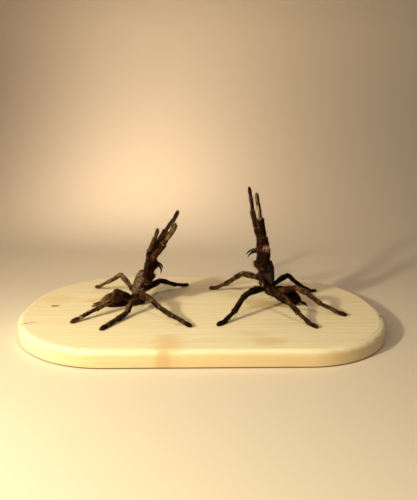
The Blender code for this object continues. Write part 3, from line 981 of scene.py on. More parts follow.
SEGMENT_SIDES = 26
SHELL_STEPS = 3
SEGMENT_WIDTH = 0.95
SEGMENT_DEPTH = {"femur": 1.12, "patella": 1.05}   # the segments that are deeper than wide
ARCHES = {"femur": 0.5, "metatarsus": 0.35}        # and those that bow, by so many millimetres
BALD_STRIPES = {"femur": 0.4, "patella": 1.0, "tibia": 0.9, "metatarsus": 0.4}
STRIPE_PLACES = (68, 112)                          # degrees round the segment; 90 is its top
STRIPE_WIDTH = 0.11
HAIR_REACHES = {"trochanter": 1.0, "femur": 1.1, "patella": 1.05, "tibia": 1.2,
                "metatarsus": 1.1, "tarsus": 0.8}
PADDED = {"tarsus": (0.03, 0.15), "metatarsus": (0.35, 0.6)}    # where a foot's brush begins

# Seeded patches on the limbs: their size, and where they start and are full
RAGGED = (3.4, 0.15, 0.8)
FLECKS = (2.1, 0.3, 0.75)
SPECKS = (1.5, 0.15, 0.8)
TORN = (1.7, -0.1, 0.45)


def kind_of(limb):
    """The sort of limb, such as leg_1 for leg_1_near."""
    return limb.rsplit("_", 1)[0]


def limb_joints(pose, limb):
    """The centres of a limb's joints from hip to toe."""
    hip, heading, pitches = pose["limbs"][limb]
    joints = [np.array(hip, float)]
    for reach, pitch in zip(LIMB_LENGTHS[kind_of(limb)], pitches):
        joints.append(joints[-1] + reach * direction(heading, pitch))
    return joints


def body_frame(pose):
    """The cephalothorax's own frame in the world."""
    return moved(pose["centre"]) @ turned(pose["heading"], "Z") @ turned(-pose["pitch"], "Y")


def hip_facts(pose, limb):
    """A limb's hip, the direction through it, and its coxa's root."""
    hip, heading, pitches = pose["limbs"][limb]
    body = body_frame(pose)
    forward, sideways, up = COXA_ROOTS[kind_of(limb)]
    side = math.copysign(1, through(np.linalg.inv(body), hip)[1])
    root = through(body, (forward, side * sideways, up))
    hip = np.array(hip, float)
    return hip, unit(unit(hip - root) + direction(heading, pitches[0])), root


def pressed(grid):
    """Flatten what would sink into the board."""
    grid = grid.copy()
    grid[..., 2] = np.maximum(grid[..., 2], PRESSED_TO)
    return grid


def joint_light(node, number):
    """How light the skin at one of a limb's joints shows."""
    return JOINT_LIGHT.get(node, {}).get(number, COMMON_JOINT_LIGHT)


def segment(skin, name, start, end, across, thickness, facts, seed, first_along=None):
    """Add one rigid shell of a limb to its skin."""
    knots = curve(SHELLS[name], SHELL_STEPS)
    shares, radii = knots[:, 0], knots[:, 1] * thickness
    along = unit(end - start)
    bow = ARCHES.get(name, 0.0) * swelling(shares) * np.cross(along, unit(across))
    centres = stations(start, end, shares) + bow
    alongs = np.broadcast_to(along, centres.shape)
    if first_along is not None:
        lean = (1 - smooth(shares, 0.0, 0.12))[:, None]
        alongs = unit(first_along * lean + along * (1 - lean))
    low, high = shares.min(), shares.max()
    inner = (shares - low) / (high - low)
    relief = creased(inner, SEGMENT_SIDES, facts["shrinkage"], seed)
    depth = SEGMENT_DEPTH.get(name, 1.0)
    grid = ring_grid(centres, alongs, across, depth * radii[:, None] * relief, SEGMENT_SIDES,
                     SEGMENT_WIDTH / depth)
    grid += 0.13 * ripple(grid, 2.6, seed + 1)[..., None] * unit(grid - centres[:, None])
    reach = np.linalg.norm(end - start)
    marks = segment_marks(name, grid, inner, (shares - low) * reach, (high - shares) * reach, facts, seed)
    # Painted shade: the shade mark darkens the chitin where the dried creases sink in
    skin.add(pressed(grid), along, shade=np.clip((1 - relief) * 5, 0, 1), **marks)


def segment_marks(name, grid, inner, from_start, from_end, facts, seed):
    """Where a segment's skin is pale, padded or torn, and the hair that grows on it."""
    wear = facts["wear"]
    angles = ring_angles(SEGMENT_SIDES)
    ragged = patches(grid, RAGGED, seed + 4)
    flecks = patches(grid, FLECKS, seed + 8) * (0.2 + 1.1 * wear)
    specks = patches(grid, SPECKS, seed + 5)
    far_lip = near_zero(from_end, 0.8)[:, None] * facts["end_light"] * ragged
    near_lip = near_zero(from_start, 0.8)[:, None] * facts["start_light"] * ragged
    lip = np.clip(far_lip + 0.7 * near_lip, 0, 1)
    underneath = smooth(np.cos(angles + math.pi / 2 - facts["roll"]), -0.05, 0.35)[None, :]
    padded = smooth(inner, *PADDED[name]) if name in PADDED else np.zeros(len(inner))
    pad = underneath * padded[:, None] * facts["pad"]
    inner_light = facts["inner_light"].get(name, 0.0) * underneath * smooth(inner, 0.05, 0.2)[:, None]
    off_stripes = [angle_between(angles, math.radians(place)) for place in STRIPE_PLACES]
    stripes = sum(near_zero(off, STRIPE_WIDTH) for off in off_stripes)
    stripe = (0.2 + 0.9 * wear) * BALD_STRIPES.get(name, 0.0) * stripes[None, :] * swelling(inner) ** 0.5
    torn = facts["torn"][0] * near_zero(from_start, 2.2) + facts["torn"][1] * near_zero(from_end, 2.6)
    torn = np.clip(1.4 * torn[:, None] * patches(grid, TORN, seed + 9), 0, 1)
    mottle = 0.13 * ripple(grid, 7.0, seed + 2) + 0.14 * ripple(grid, 2.4, seed + 3)
    tone = (0.04 + 0.42 * wear + mottle * (0.5 + 1.5 * wear) + 0.6 * flecks
            + pad * (0.5 - 0.4 * specks) + 0.25 * lip + 0.4 * inner_light + 0.3 * stripe)
    bare_lip = (1 - 0.6 * near_zero(from_end, 0.45))[:, None]
    return {
        "pale": np.clip(0.75 * lip + inner_light + 0.55 * stripe, 0, 1),
        "pad": pad * (1 - 0.7 * specks),
        "sore": torn,
        "tone": tone,
        "density": bare_lip * (1 + 0.8 * pad) * (1 - 0.75 * stripe) * (1 - 0.85 * torn),
        "reach": HAIR_REACHES[name] * (1 - 0.4 * pad) * (1 + 0.35 * ripple(grid, 4.0, seed + 6)),
    }


def claws(skin, toe, along, across, high, thickness):
    """Two small hooked claws at the end of a foot."""
    for side in (-1, 1):
        start = toe - 1.0 * along + 0.55 * side * across * thickness
        knots = np.array((start, start + 1.0 * along + 0.35 * high + 0.2 * side * across,
                          start + 1.7 * along - 0.25 * high + 0.3 * side * across))
        line = curve(knots, 4)
        grid = ring_grid(line, np.gradient(line, axis=0), across, np.linspace(0.32, 0.05, len(line)), 8)
        skin.add(pressed(grid), along, density=0.0)


def segment_facts(side, limb, name, number, roll, settings):
    """What sets a limb's segment apart from the others."""
    node = f"{side}_{limb}"
    # a limb's value holds painted shade as well as wear
    wear = SEGMENT_WEAR.get(node, {}).get(name, LIMB_WEAR_AND_PAINTED_SHADE[side][limb])
    pad_light, inner_light = PAD_LIGHT.get(node, COMMON_PAD_LIGHT)
    return {
        "wear": wear * (FOOT_WEAR if name == "tarsus" else 1.0),
        "shrinkage": settings.shrinkage,
        "roll": roll,
        "start_light": joint_light(node, number),
        "end_light": 0.0 if name == "tarsus" else joint_light(node, number + 1),
        "pad": pad_light,
        "inner_light": {"metatarsus": inner_light},
        "torn": [1.0 if (node, joint) == TORN_JOINT else 0.0 for joint in (number, number + 1)],
    }


def limb_skin(side, pose, limb, settings):
    """One leg or pedipalp from its trochanter to its claws."""
    node = f"{side}_{limb}"
    kind = kind_of(limb)
    thickness = LIMB_THICKNESS[kind] * settings.slimness * SHRIVELLED.get(node, 1.0)
    hip, onward, _ = hip_facts(pose, limb)
    joints = limb_joints(pose, limb)
    across = direction(pose["limbs"][limb][1] + 90, 0)
    seed = 1000 * (1 + list(POSES).index(side)) + 20 * list(pose["limbs"]).index(limb)
    raised = kind in ("leg_1", "pedipalp")
    roll = -math.copysign(math.radians(PAD_ROLL), across[1]) if raised else 0.0
    skin = Skin()

    first = {**segment_facts(side, limb, "trochanter", 0, roll, settings), "torn": (0.0, 0.0)}
    segment(skin, "trochanter", joints[0], joints[1], across, thickness, first, seed, onward)
    hip_light = joint_light(node, 0)
    skin.add_ball(hip, HIP_RADIUS * HIP_BALL_FIT * thickness, across, onward, 0.5,
                  pale=0.1 + 0.4 * hip_light, density=0.3, tone=0.15 + 0.3 * hip_light)
    names = PALP_SEGMENTS if kind == "pedipalp" else LEG_SEGMENTS
    for number, name in enumerate(names):
        start, end = joints[number], joints[number + 1]
        slim = SLIM_SEGMENTS.get(node, {}).get(name, 1.0)
        facts = segment_facts(side, limb, name, number, roll, settings)
        segment(skin, name, start, end, across, thickness * slim, facts, seed + 3 * number + 3)
        if name == "tarsus":
            continue
        light = joint_light(node, number + 1)
        along = unit(unit(end - start) + unit(joints[number + 2] - end))
        sore = 1.0 if (node, number + 1) == TORN_JOINT else 0.0
        skin.add_ball(end, JOINT_RADII[name] * thickness * JOINT_BALL_FIT, across, along,
                      pale=0.03 + 0.35 * light, sore=sore, density=0.6 * (1 - sore),
                      tone=0.10 + 0.35 * light, reach=0.6)
    along = unit(joints[-1] - joints[-2])
    claws(skin, joints[-1], along, across, np.cross(along, across), thickness)
    return skin


# ---------------------------------------------------------------- bodies


BACK_SIDES = 112
BACK_RINGS = 26
CHEST_RINGS = 16
COXA_SIDES = 24
JAW_SIDES = 30
ABDOMEN_SIDES = 64
# The eyes: how far forward, how far to the side, and their radius
EYES = ((11.6, 0.5, 0.4), (11.9, 1.3, 0.33), (11.0, 1.15, 0.26), (11.1, 1.6, 0.3))
RADIAL_GROOVES = (33, 66, 104, 146)   # degrees from forward, on either side of the fovea
HEAD_GROOVE = 30

# Seeded patches on the bodies: their size, and where they start and are full
BACK_BLOTCHES = (2.6, 0.0, 0.7)
BACK_SPECKS = (1.5, 0.0, 0.8)
RIM_PATCHES = (3.0, -0.4, 0.5)
COXA_HATCH = (2.2, 0.1, 0.7)
COXA_TUFTS = (3.2, 0.1, 0.9)
COXA_STROKES = (1.4, 0.1, 0.5)
ENDITE_TUFTS = (3.0, -0.1, 0.7)
JAW_BANDS = (5.0, 0.1, 0.8)
ABDOMEN_PATCHES = (11.0, 0.15, 0.9)


def carapace(skin, pose, pale_back):
    """The domed back and the flatter chest, as one closed shell."""
    angles = ring_angles(BACK_SIDES)
    over = np.linspace(0.06, math.pi / 2, BACK_RINGS)
    under = np.linspace(1.0, 0.05, CHEST_RINGS)[1:]
    shares = np.concatenate((np.sin(over), under))[:, None]
    above = 0.2 + BACK_HEIGHT * np.cos(over)
    below = -CHEST_HEIGHT * np.sqrt(1 - under ** 2.4)
    heights = np.concatenate((above, below))[:, None]
    x = RIM_HALF_LENGTH * np.cos(angles) * shares
    y = -RIM_HALF_WIDTH * np.sin(angles) * shares * (1 - RIM_NARROWING * np.cos(angles))
    x = np.minimum(x, FACE - 0.15)
    swell = np.where(heights > 0.2, HEAD_RISE, CHEST_DEPTH)
    z = heights * (1 + swell * x / RIM_HALF_LENGTH)
    back = np.broadcast_to(smooth(heights, 0.2, 1.6), x.shape)

    from_fovea = np.hypot(x - FOVEA, y)
    bearing = np.arctan2(y, x - FOVEA)
    grooves = np.zeros_like(x)
    for degrees in RADIAL_GROOVES:
        for side in (-1, 1):
            off = angle_between(bearing, side * math.radians(degrees)) * from_fovea
            depth = smooth(from_fovea, 1.0, 3.5) * (1 - 0.45 * smooth(from_fovea, 6, 12))
            grooves += near_zero(off, 0.65) * depth
    head_angle = math.radians(HEAD_GROOVE)
    head_side = angle_between(np.abs(bearing), head_angle) * from_fovea
    head_groove = near_zero(head_side, 0.8) * smooth(x, FOVEA, FOVEA + 2) * (1 - smooth(x, 9, 12))
    head = smooth(head_angle - np.abs(bearing), -0.08, 0.14) * smooth(x, FOVEA + 1, FOVEA + 6)
    pit = near_zero(np.hypot((x - FOVEA) / 1.1, y / 2.2), 1.0)
    mound = near_zero(np.hypot((x - EYE_MOUND) / 1.5, y / 1.9), 1.0)
    place = np.stack((x, y, z), axis=-1)
    z = z + back * (0.4 * head - 0.28 * grooves - 0.35 * head_groove - 1.0 * pit + 0.75 * mound)
    z = z + back * 0.08 * ripple(place, 2.4, 7)
    rim_lip = near_zero(heights - 0.25, 0.5)
    x = x * (1 + 0.012 * rim_lip)
    y = y * (1 + 0.012 * rim_lip)
    carved = np.stack((x, y, z), axis=-1)
    grid = through(body_frame(pose), carved * BACK_FIT)

    # Painted shade: relief darkens the grooves, head groove and pit, and through dark it dims the velvet,
    # its chitin and its hair's tone, beside the back's own blotches and a darker chest
    relief = 0.55 * grooves + 0.3 * head_groove + 0.6 * pit
    spots = 0.75 * patches(place, BACK_BLOTCHES, 11) + 0.4 * patches(place, BACK_SPECKS, 12)
    dark = np.clip(back * (relief + spots) + 0.9 * (1 - back), 0, 1)
    outward = np.stack((x - FOVEA - 2.0, y, -0.15 * from_fovea), axis=-1)
    outward = unit(outward + np.array((-1.5, 0, 0))) @ body_frame(pose)[:3, :3].T
    tone = np.where(back > 0.5, pale_back - (0.25 + 0.45 * pale_back) * dark + 0.14 * rim_lip,
                    0.08 + 0.10 * ripple(place, 4.0, 5))
    length_mark = np.where(back > 0.5, 0.6, 1.7) + 0.7 * rim_lip
    rim_light = 0.55 * rim_lip * patches(place, RIM_PATCHES, 17) * min(1.0, 1.3 * pale_back)
    skin.add(grid, outward, shade=dark, red=0.25 * (1 - back), pale=rim_light, tone=tone,
             reach=length_mark, density=1.0 + 0.8 * back)

    across, up = (unit(body_frame(pose)[:3, axis]) for axis in (1, 2))
    upper = carved[back > 0.5]
    for side in (-1, 1):
        for forward, sideways, size in EYES:
            off = np.hypot(upper[:, 0] - forward, upper[:, 1] - side * sideways)
            eye = through(body_frame(pose), upper[off.argmin()] * BACK_FIT)
            skin.add_ball(eye, size, across, up, shade=1.0, density=0.0)


def coxae(skin, side, pose, seed):
    """The stubs that carry the limbs, with pale rims at the hips."""
    for number, limb in enumerate(pose["limbs"]):
        hip, onward, root = hip_facts(pose, limb)
        thickness = (PALP_COXA_THICKNESS if kind_of(limb) == "pedipalp" else 1.0) * COXA_FIT
        knots = curve(COXA_SHELL, 4)
        shares = knots[:, 0]
        along = unit(hip - root)
        lean = smooth(shares, 0.5, 1.0)[:, None]
        alongs = unit(along * (1 - lean) + onward * lean)
        across = unit(np.cross(onward, UP))
        relief = creased(shares, COXA_SIDES, 0.10, seed + number)
        grid = ring_grid(stations(root, hip, shares), alongs, across, knots[:, 1:] * thickness * relief,
                         COXA_SIDES)
        reach = np.linalg.norm(hip - root)
        lip = near_zero((shares.max() - shares) * reach, 0.6)[:, None]
        hatch = patches(grid, COXA_HATCH, seed + 40 + number)
        tufts = patches(grid, COXA_TUFTS, seed + 80 + number)
        light = joint_light(f"{side}_{limb}", 0) * smooth(shares, 0.35, 0.8)[:, None]
        strokes = light * patches(grid, COXA_STROKES, seed + 120 + number)
        skin.add(pressed(grid), along, pale=np.clip(0.7 * strokes + 0.06 * hatch, 0, 1), red=0.2,
                 shade=0.5, tone=0.015 + 0.32 * hatch ** 2 + 0.6 * strokes, reach=1.1 + 1.3 * tufts,
                 density=(1 - 0.5 * lip) * (1 + tufts))


def endites(skin, side, pose, seed):
    """The blunt lobes under the jaws, with a ragged fringe of long hair."""
    frame = body_frame(pose)
    fringe_size = FRINGE[side]
    across = unit(frame[:3, 1])
    for sign in (-1, 1):
        start, end = (through(frame, (x, sign * y, z)) for x, y, z in ENDITE)
        end = end + pose["endite_lift"] * frame[:3, 2]
        shares, radii = curve(ENDITE_SHELL, 4).T
        grid = ring_grid(stations(start, end, shares), end - start, across, radii * ENDITE_FIT, 22)
        tufts = patches(grid, ENDITE_TUFTS, seed + sign)
        fringe = unit(0.6 * frame[:3, 0] - frame[:3, 2])
        skin.add(grid, fringe, red=0.3 * fringe_size, tone=0.03 + 0.27 * tufts * fringe_size,
                 reach=1.0 + (0.4 + 1.3 * tufts) * fringe_size, density=1 + 1.2 * tufts)


def chelicera_skins(pose, name, sign):
    """One jaw and its fang, as two skins."""
    root = (FACE, sign * CHELICERA_SPREAD, CHELICERA_LIFT)
    jaw_frame = body_frame(pose) @ moved(root) @ turned(-pose["chelicera_pitch"], "Y")
    forward, across = unit(jaw_frame[:3, 0]), unit(jaw_frame[:3, 1])
    knots = curve(CHELICERA_SHELL, 4)
    shares = knots[:, 0]
    relief = creased(shares / shares.max(), JAW_SIDES, 0.05, 5 + int(sign))
    centres = through(jaw_frame, np.outer(shares, (CHELICERA_LENGTH, 0, 0)))
    grid = ring_grid(centres, forward, across, knots[:, 1:] * relief * JAW_FIT, JAW_SIDES,
                     CHELICERA_FLATNESS)
    jaw = Skin()
    bands = patches(grid, JAW_BANDS, 31)
    below = smooth(-np.sin(ring_angles(JAW_SIDES)), 0.1, 0.9)[None, :]
    jaw.add(grid, forward, tone=0.03 + 0.30 * bands ** 2, reach=1.0 + 0.9 * below, red=0.1,
            density=(1 - smooth(shares, 1.1, 1.2))[:, None])

    size = pose["fang_size"]
    first_x, first_z = FANG_CURVE[0]
    closing = turned(sign * FANG_SPLAY, "X") @ turned(pose["fang_closing"][name], "Y")
    closed = jaw_frame @ moved((CHELICERA_LENGTH + first_x, 0, first_z)) @ closing
    start, middle, tip = (
        through(closed, (size * (x - first_x), 0, size * (z - first_z))) for x, z in FANG_CURVE)
    t = np.linspace(0, 1, 26)[:, None]
    line = start * (1 - t) ** 2 + 2 * middle * t * (1 - t) + tip * t * t
    radii = np.interp(t[:, 0], np.linspace(0, 1, len(FANG_RADII)), FANG_RADII) * FANG_FIT * size
    grid = ring_grid(line, np.gradient(line, axis=0), across, radii, 18, FANG_FLATNESS)
    fang = Skin()
    fang.add(grid, forward, pale=0.25 * near_zero(t[:, 0], 0.12) + 0.35 * smooth(t[:, 0], 0.8, 1.0))
    fang.add_ball(line[0], 1.75 * size, across, unit(line[1] - line[0]), 0.8, pale=0.3)
    return jaw, fang


def abdomen_skin(pose, seed):
    """The shrunken abdomen, its thin waist and its spinnerets."""
    facts = pose["abdomen"]
    waist, rear, tip = (np.array(facts[key], float) for key in ("waist", "rear", "spinneret_tip"))
    along = unit(rear - waist)
    across = unit(np.cross(UP, along))
    knots = curve(ABDOMEN_SHELL, 6)
    shares = knots[:, 0]
    relief = creased(shares, ABDOMEN_SIDES, 0.09, seed, 7)
    radii = knots[:, 1:] * facts["half_height"] * ABDOMEN_FIT * relief
    flatness = facts["half_width"] / facts["half_height"]
    centres = stations(waist, rear, shares)
    grid = ring_grid(centres, along, across, radii, ABDOMEN_SIDES, flatness)
    outward = unit(grid - centres[:, None])
    wrinkles = 0.28 * ripple(grid, 5.0, seed + 1) + 0.12 * ripple(grid, 2.0, seed + 2)
    grid = grid + outward * wrinkles[..., None]
    patch = patches(grid, ABDOMEN_PATCHES, seed + 3) * smooth(-outward[..., 1], -0.2, 0.7)
    rear_wear = facts["rear_wear"]
    worn = rear_wear * smooth(shares, 0.5, 0.78)[:, None] * smooth(outward[..., 2], -0.5, 0.5)
    tone = 0.03 + (0.04 + 0.34 * rear_wear) * patch + 0.66 * worn + 0.06 * ripple(grid, 2.4, seed + 4)
    skin = Skin()
    # Painted shade: the shade mark darkens the chitin where the creases sink in
    skin.add(pressed(grid), along - 0.25 * UP, red=0.12 * patch + 0.15 * near_zero(shares, 0.1)[:, None],
             shade=np.clip((1 - relief) * 6, 0, 1), reach=1.5, density=1.1, tone=tone)
    for sign in (-1, 1):
        root = waist + 0.9 * (rear - waist) + across * sign * SPINNERET_SPREAD
        end = tip + across * sign * (SPINNERET_SPREAD + SPINNERET_SPLAY)
        shares, radii = curve(SPINNERET_SHELL, 3).T
        grid = ring_grid(stations(root, end, shares), end - root, across, radii * SPINNERET_FIT, 18)
        joints = sum(near_zero(shares - joint, 0.03) for joint in SPINNERET_JOINTS)
        skin.add(pressed(grid), unit(end - root), pale=0.2 * joints, tone=0.12 + 0.3 * rear_wear,
                 reach=0.7, density=1.2)
    return skin


# ---------------------------------------------------------------- the board


CORNER_STEPS = 96
LONG_STEPS = 72                       # along the front and back edges
SHORT_STEPS = 10                      # and across the ends
TOP_RINGS = (0.25, 0.5, 1.2, 3.0, 8.0, 20.0, 45.0, 75.0, 84.0)  # how far in from the roundover


def board_outline(half_length, half_depth, radius):
    """Points round the racetrack with their outward directions."""
    places, outwards = [], []
    corners = ((1, 1), (-1, 1), (-1, -1), (1, -1))
    for quarter, (sign_x, sign_y) in enumerate(corners):
        corner = np.array((sign_x * half_length, sign_y * half_depth))
        turns = math.pi / 2 * (quarter + np.linspace(0, 1, CORNER_STEPS + 1))
        arc = np.stack((np.cos(turns), np.sin(turns)), axis=-1)
        places.append(corner + radius * arc)
        outwards.append(arc)
        follows = corners[(quarter + 1) % 4]
        next_corner = np.array((follows[0] * half_length, follows[1] * half_depth))
        steps = SHORT_STEPS if quarter % 2 else LONG_STEPS
        t = (np.arange(1, steps) / steps)[:, None]
        places.append((corner + (next_corner - corner) * t) + radius * arc[-1])
        outwards.append(np.broadcast_to(arc[-1], (steps - 1, 2)))
    return np.vstack(places), np.vstack(outwards)


def board_mesh(settings):
    """The racetrack board with its roundover, the cutter's step and torn round ends."""
    _, high = (np.array(corner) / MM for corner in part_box("board"))
    radius = settings.corner_radius / MM
    half_length, half_depth = high[0] - radius, high[1] - radius
    thickness = high[2]
    round_radius = settings.roundover / MM
    bevel = settings.foot_bevel / MM
    ledge = settings.ledge / MM
    outline, outward = board_outline(half_length, half_depth, radius)

    # each ring's place: how far in from the outline, and its height
    turns = np.linspace(0, math.pi / 2, 12)
    levels = [(4.0, 0.0), (bevel, 0.0), (bevel * 0.3, bevel * 0.3), (0.0, bevel)]
    levels += [(0.0, z) for z in np.linspace(bevel, thickness - round_radius, 12)[1:-1]]
    for turn in turns:
        inward, drop = 1 - math.cos(turn), 1 - math.sin(turn)
        levels.append((round_radius * inward, thickness - round_radius * drop))
    levels += [(round_radius + extra, thickness) for extra in TOP_RINGS]

    end = np.abs(outward[:, 0])
    on_ledge = smooth(outline[:, 0], *LEDGE_START) * smooth(outline[:, 1], *LEDGE_NEAR_END)
    on_ledge = on_ledge * (1 - smooth(outline[:, 1], *LEDGE_FAR_END))
    rings = []
    for inward, height in levels:
        place = np.concatenate((outline - inward * outward, np.full((len(outline), 1), height)), axis=1)
        wall = smooth(height, 0.5, 2.0) * (1 - smooth(inward, 2.5, 5.0))
        torn = ripple(place * (1, 1, 0.6), 3.4, 3) + 0.7 * ripple(place, 1.7, 4)
        rough = settings.torn_grain / MM * smooth(end, 0.35, 0.8) * wall
        wavy = 0.10 * wall * ripple(place, 38, 6)
        place[:, :2] += outward * (rough * torn * 0.6 + wavy)[:, None]
        if height > LEDGE_FOOT:
            step = 1 - smooth(inward, round_radius + 0.05, round_radius + 0.35)
            place[:, 2] -= ledge * on_ledge * step
        rings.append(place)
    grid = np.stack(rings)
    index = np.arange(grid.size // 3).reshape(grid.shape[:2])
    mesh = bpy.data.meshes.new("board_pine")
    faces = ring_quads(index).tolist() + [index[0][::-1].tolist(), index[-1].tolist()]
    mesh.from_pydata((grid.reshape(-1, 3) * MM).tolist(), [], faces)
    mesh.validate()
    mesh.shade_smooth()
    mesh.set_sharp_from_angle(angle=math.radians(40))
    return mesh


def pine_finish(board):
    """Pale pine: growth rings and fibres along X, clouds, knots, torn ends, a crack, and a painted shadow
    line along its foot.
    """
    finish = Finish("pine", specular_ior_level=0.35)
    x, y, z = (axis / MM for axis in finish.axes())
    warp = finish.noise((5, 16, 16), 2) * 16 - 8
    warp = warp + (finish.noise((14, 60, 60), 2) * 3 - 1.5)
    edges = finish.noise((40, 160, 160), 3)

    def off_middle(place, half_size):
        """0 in the middle of an oval and 1 on its edge."""
        return (((x - place[0]) / half_size[0]) ** 2 + ((y - place[1]) / half_size[1]) ** 2) ** 0.5

    knots = 0
    bulge = 0
    for place, size, strength in BOARD_KNOTS.values():
        off = off_middle(place, (size * 1.7, size)) + (edges - 0.5) * 0.9
        knots = knots + (1 - off.between(0.35, 1.1)) * strength
        bulge = bulge + (1 - off.between(0.3, 5.5)) * size * 1.6
    clouds = 0
    for place, half_size, strength in BOARD_MARKS.values():
        off = off_middle(place, half_size) + (edges - 0.5) * 1.4
        clouds = clouds + (1 - off.between(0.3, 1.25)) * strength

    radius = ((y - PITH[0] + bulge) ** 2 + (z - PITH[1]) ** 2) ** 0.5 + warp
    ring = (radius * (math.tau / (board.ring_spacing / MM))).wave() ** 3
    fibre = finish.noise((30, 900, 900), 3)
    streak = finish.noise((7, 240, 240), 3)
    grain = ring * (0.08 + 0.36 * streak) + streak.between(0.35, 0.75) * 0.35 + (fibre - 0.5) * 0.4
    tint = finish.mix(grain.largest(0).clipped(), tuple(board.pale), tuple(board.dark))
    tint = finish.mix(clouds.clipped(), tint, tuple(board.stain))
    tint = finish.mix(knots.clipped(), tint, tuple(board.knot))

    facing = finish.node("ShaderNodeNewGeometry", {}, out="Normal")
    facing_x, _, facing_z = finish.axes(facing)
    side_mask = 1 - facing_z.between(0.25, 0.85)
    tint = finish.mix(side_mask * (0.5 + 0.3 * streak), tint, tuple(board.edge))
    end_mask = abs(facing_x).between(0.22, 0.75) * (1 - facing_z.between(0.55, 0.9))
    torn = finish.noise((260, 260, 90), 4).between(0.3, 0.7)
    ends = finish.mix(torn * 0.45, tuple(board.end_grain), tuple(board.dark))
    tint = finish.mix(end_mask * 0.75, tint, ends)

    (ax, ay), (bx, by) = CRACK
    reach = math.hypot(bx - ax, by - ay)
    run, rise = (bx - ax) / reach, (by - ay) / reach
    along = (x - ax) * run + (y - ay) * rise
    off_line = abs((x - ax) * -rise + (y - ay) * run + (edges - 0.5) * 5)
    crack = (1 - off_line.between(0.3, 1.1)) * along.between(-2, 1)
    crack = crack * (1 - along.between(reach * 0.7, reach))
    nick = 1 - (off_middle(NICK, NICK_SIZE) ** 2).between(0.4, 1.3)
    # Painted shadow: a dark band in the crack colour along the lowest two millimetres of the board's sides
    painted_foot_shadow = 1 - z.between(0.9, 1.9)
    cuts_and_foot_shadow = (crack * 0.9 + nick * 0.7 + painted_foot_shadow * 0.9).clipped()
    tint = finish.mix(cuts_and_foot_shadow, tint, tuple(board.crack))
    height = fibre * 0.5 + ring * 0.3 - crack * 3 - nick * 2 - end_mask * torn * 1.5
    finish.bump(height, 0.00012, 0.55)
    return finish.done(base_color=tint, roughness=0.48 + 0.16 * fibre + end_mask * 0.2)


# ---------------------------------------------------------------- the stage


# The camera's place is in metres, and its directions are in degrees
CAMERA_PLACE = (-0.01453, -0.39905, 0.1636)
CAMERA_HEADING = -2.61
CAMERA_PITCH = -12.93
CAMERA_ROLL = 0.92

# Each light's place, what it is turned to and the side of its square, in metres, and its
# spread in degrees
KEY_LIGHT = ((-0.456, -0.427, 0.297), (0.20, -0.40, 0.0), 0.05, 180)
WASH_LIGHT = ((-0.207, -0.401, 0.441), (-0.060, 0.292, 0.250), 0.14, 90)
SOFT_LIGHT = ((-0.456, -0.427, 0.320), (0.20, -0.40, 0.0), 0.36, 180)
SIDE_LIGHT = ((0.242, -0.391, 0.878), (0.07, 0.0, 0.02), 0.05, 120)
BACKDROP_LIGHT = ((-0.14, 0.27, 0.345), (-0.12, 0.70, 0.22), 0.12, 155)


def sweep_floor(settings):
    """A pale floor that curves up into a backdrop."""
    start, depth, height = settings.sweep_start, settings.sweep_depth, settings.sweep_height
    turns = np.linspace(0, math.pi / 2, 24)
    ys = np.concatenate(((-1.4, -0.6, -0.2, 0.0), start + depth * np.sin(turns), (start + depth,)))
    zs = np.concatenate((np.zeros(4), height * (1 - np.cos(turns)), (1.6,)))
    xs = np.linspace(-1.6, 1.6, 9)
    points = [(x, y, z) for y, z in zip(ys, zs) for x in xs]
    faces = []
    for row in range(len(ys) - 1):
        for column in range(len(xs) - 1):
            corner = row * len(xs) + column
            faces.append((corner, corner + 1, corner + 1 + len(xs), corner + len(xs)))
    mesh = bpy.data.meshes.new("floor_sweep")
    mesh.from_pydata(points, [], faces)
    mesh.shade_smooth()
    finish = Finish("pale_paper", specular_ior_level=0.2)
    mottle = finish.noise(9, 3)
    grain = finish.noise(900, 2)
    lighter = tuple(min(1.0, part * 1.03) for part in settings.floor)
    tint = finish.mix(mottle * 0.6 + grain * 0.4, tuple(settings.floor), lighter)
    finish.bump(grain, 0.0001, 0.2)
    mesh.materials.append(finish.done(base_color=tint, roughness=0.7 + 0.1 * grain))
    floor = bpy.data.objects.new("floor_sweep", mesh)
    bpy.context.scene.collection.objects.link(floor)


def aimed(place, target):
    """A matrix that stands at a place and looks at a target."""
    place, target = np.array(place, float), np.array(target, float)
    back = unit(place - target)
    right = unit(np.cross(UP, back))
    matrix = np.eye(4)
    matrix[:3] = np.stack((right, np.cross(back, right), back, place), axis=1)
    return Matrix(matrix)


def soft_light(name, place, target, size, spread, power, tint):
    """A square area light that the camera doesn't see."""
    lamp = bpy.data.lights.new(name, "AREA")
    lamp.shape = "SQUARE"
    lamp.size = size
    lamp.spread = math.radians(spread)
    lamp.energy = power
    lamp.color = tuple(tint)
    light = bpy.data.objects.new(name, lamp)
    light.matrix_world = aimed(place, target)
    light.visible_camera = False
    bpy.context.scene.collection.objects.link(light)


def photo_camera(settings):
    """The camera at the photograph's viewing angle."""
    view = bpy.data.cameras.new("camera")
    view.lens = settings.lens
    view.sensor_width = 36.0
    view.clip_start = 0.01
    view.clip_end = 20.0
    looking = direction(90 + CAMERA_HEADING, CAMERA_PITCH)
    level = aimed(CAMERA_PLACE, np.array(CAMERA_PLACE) + looking)
    camera = bpy.data.objects.new("camera", view)
    camera.matrix_world = level @ Matrix.Rotation(math.radians(CAMERA_ROLL), 4, "Z")
    bpy.context.scene.collection.objects.link(camera)
    bpy.context.scene.camera = camera


# ---------------------------------------------------------------- operators


class BuildBoard(bpy.types.Operator):
    """Build the pine board"""

    bl_idname = "specimen.board"
    bl_label = "Board"

    def execute(self, context):
        settings = context.scene.specimen_board
        show("board_pine", board_mesh(settings), pine_finish(settings), "board")
        return {"FINISHED"}


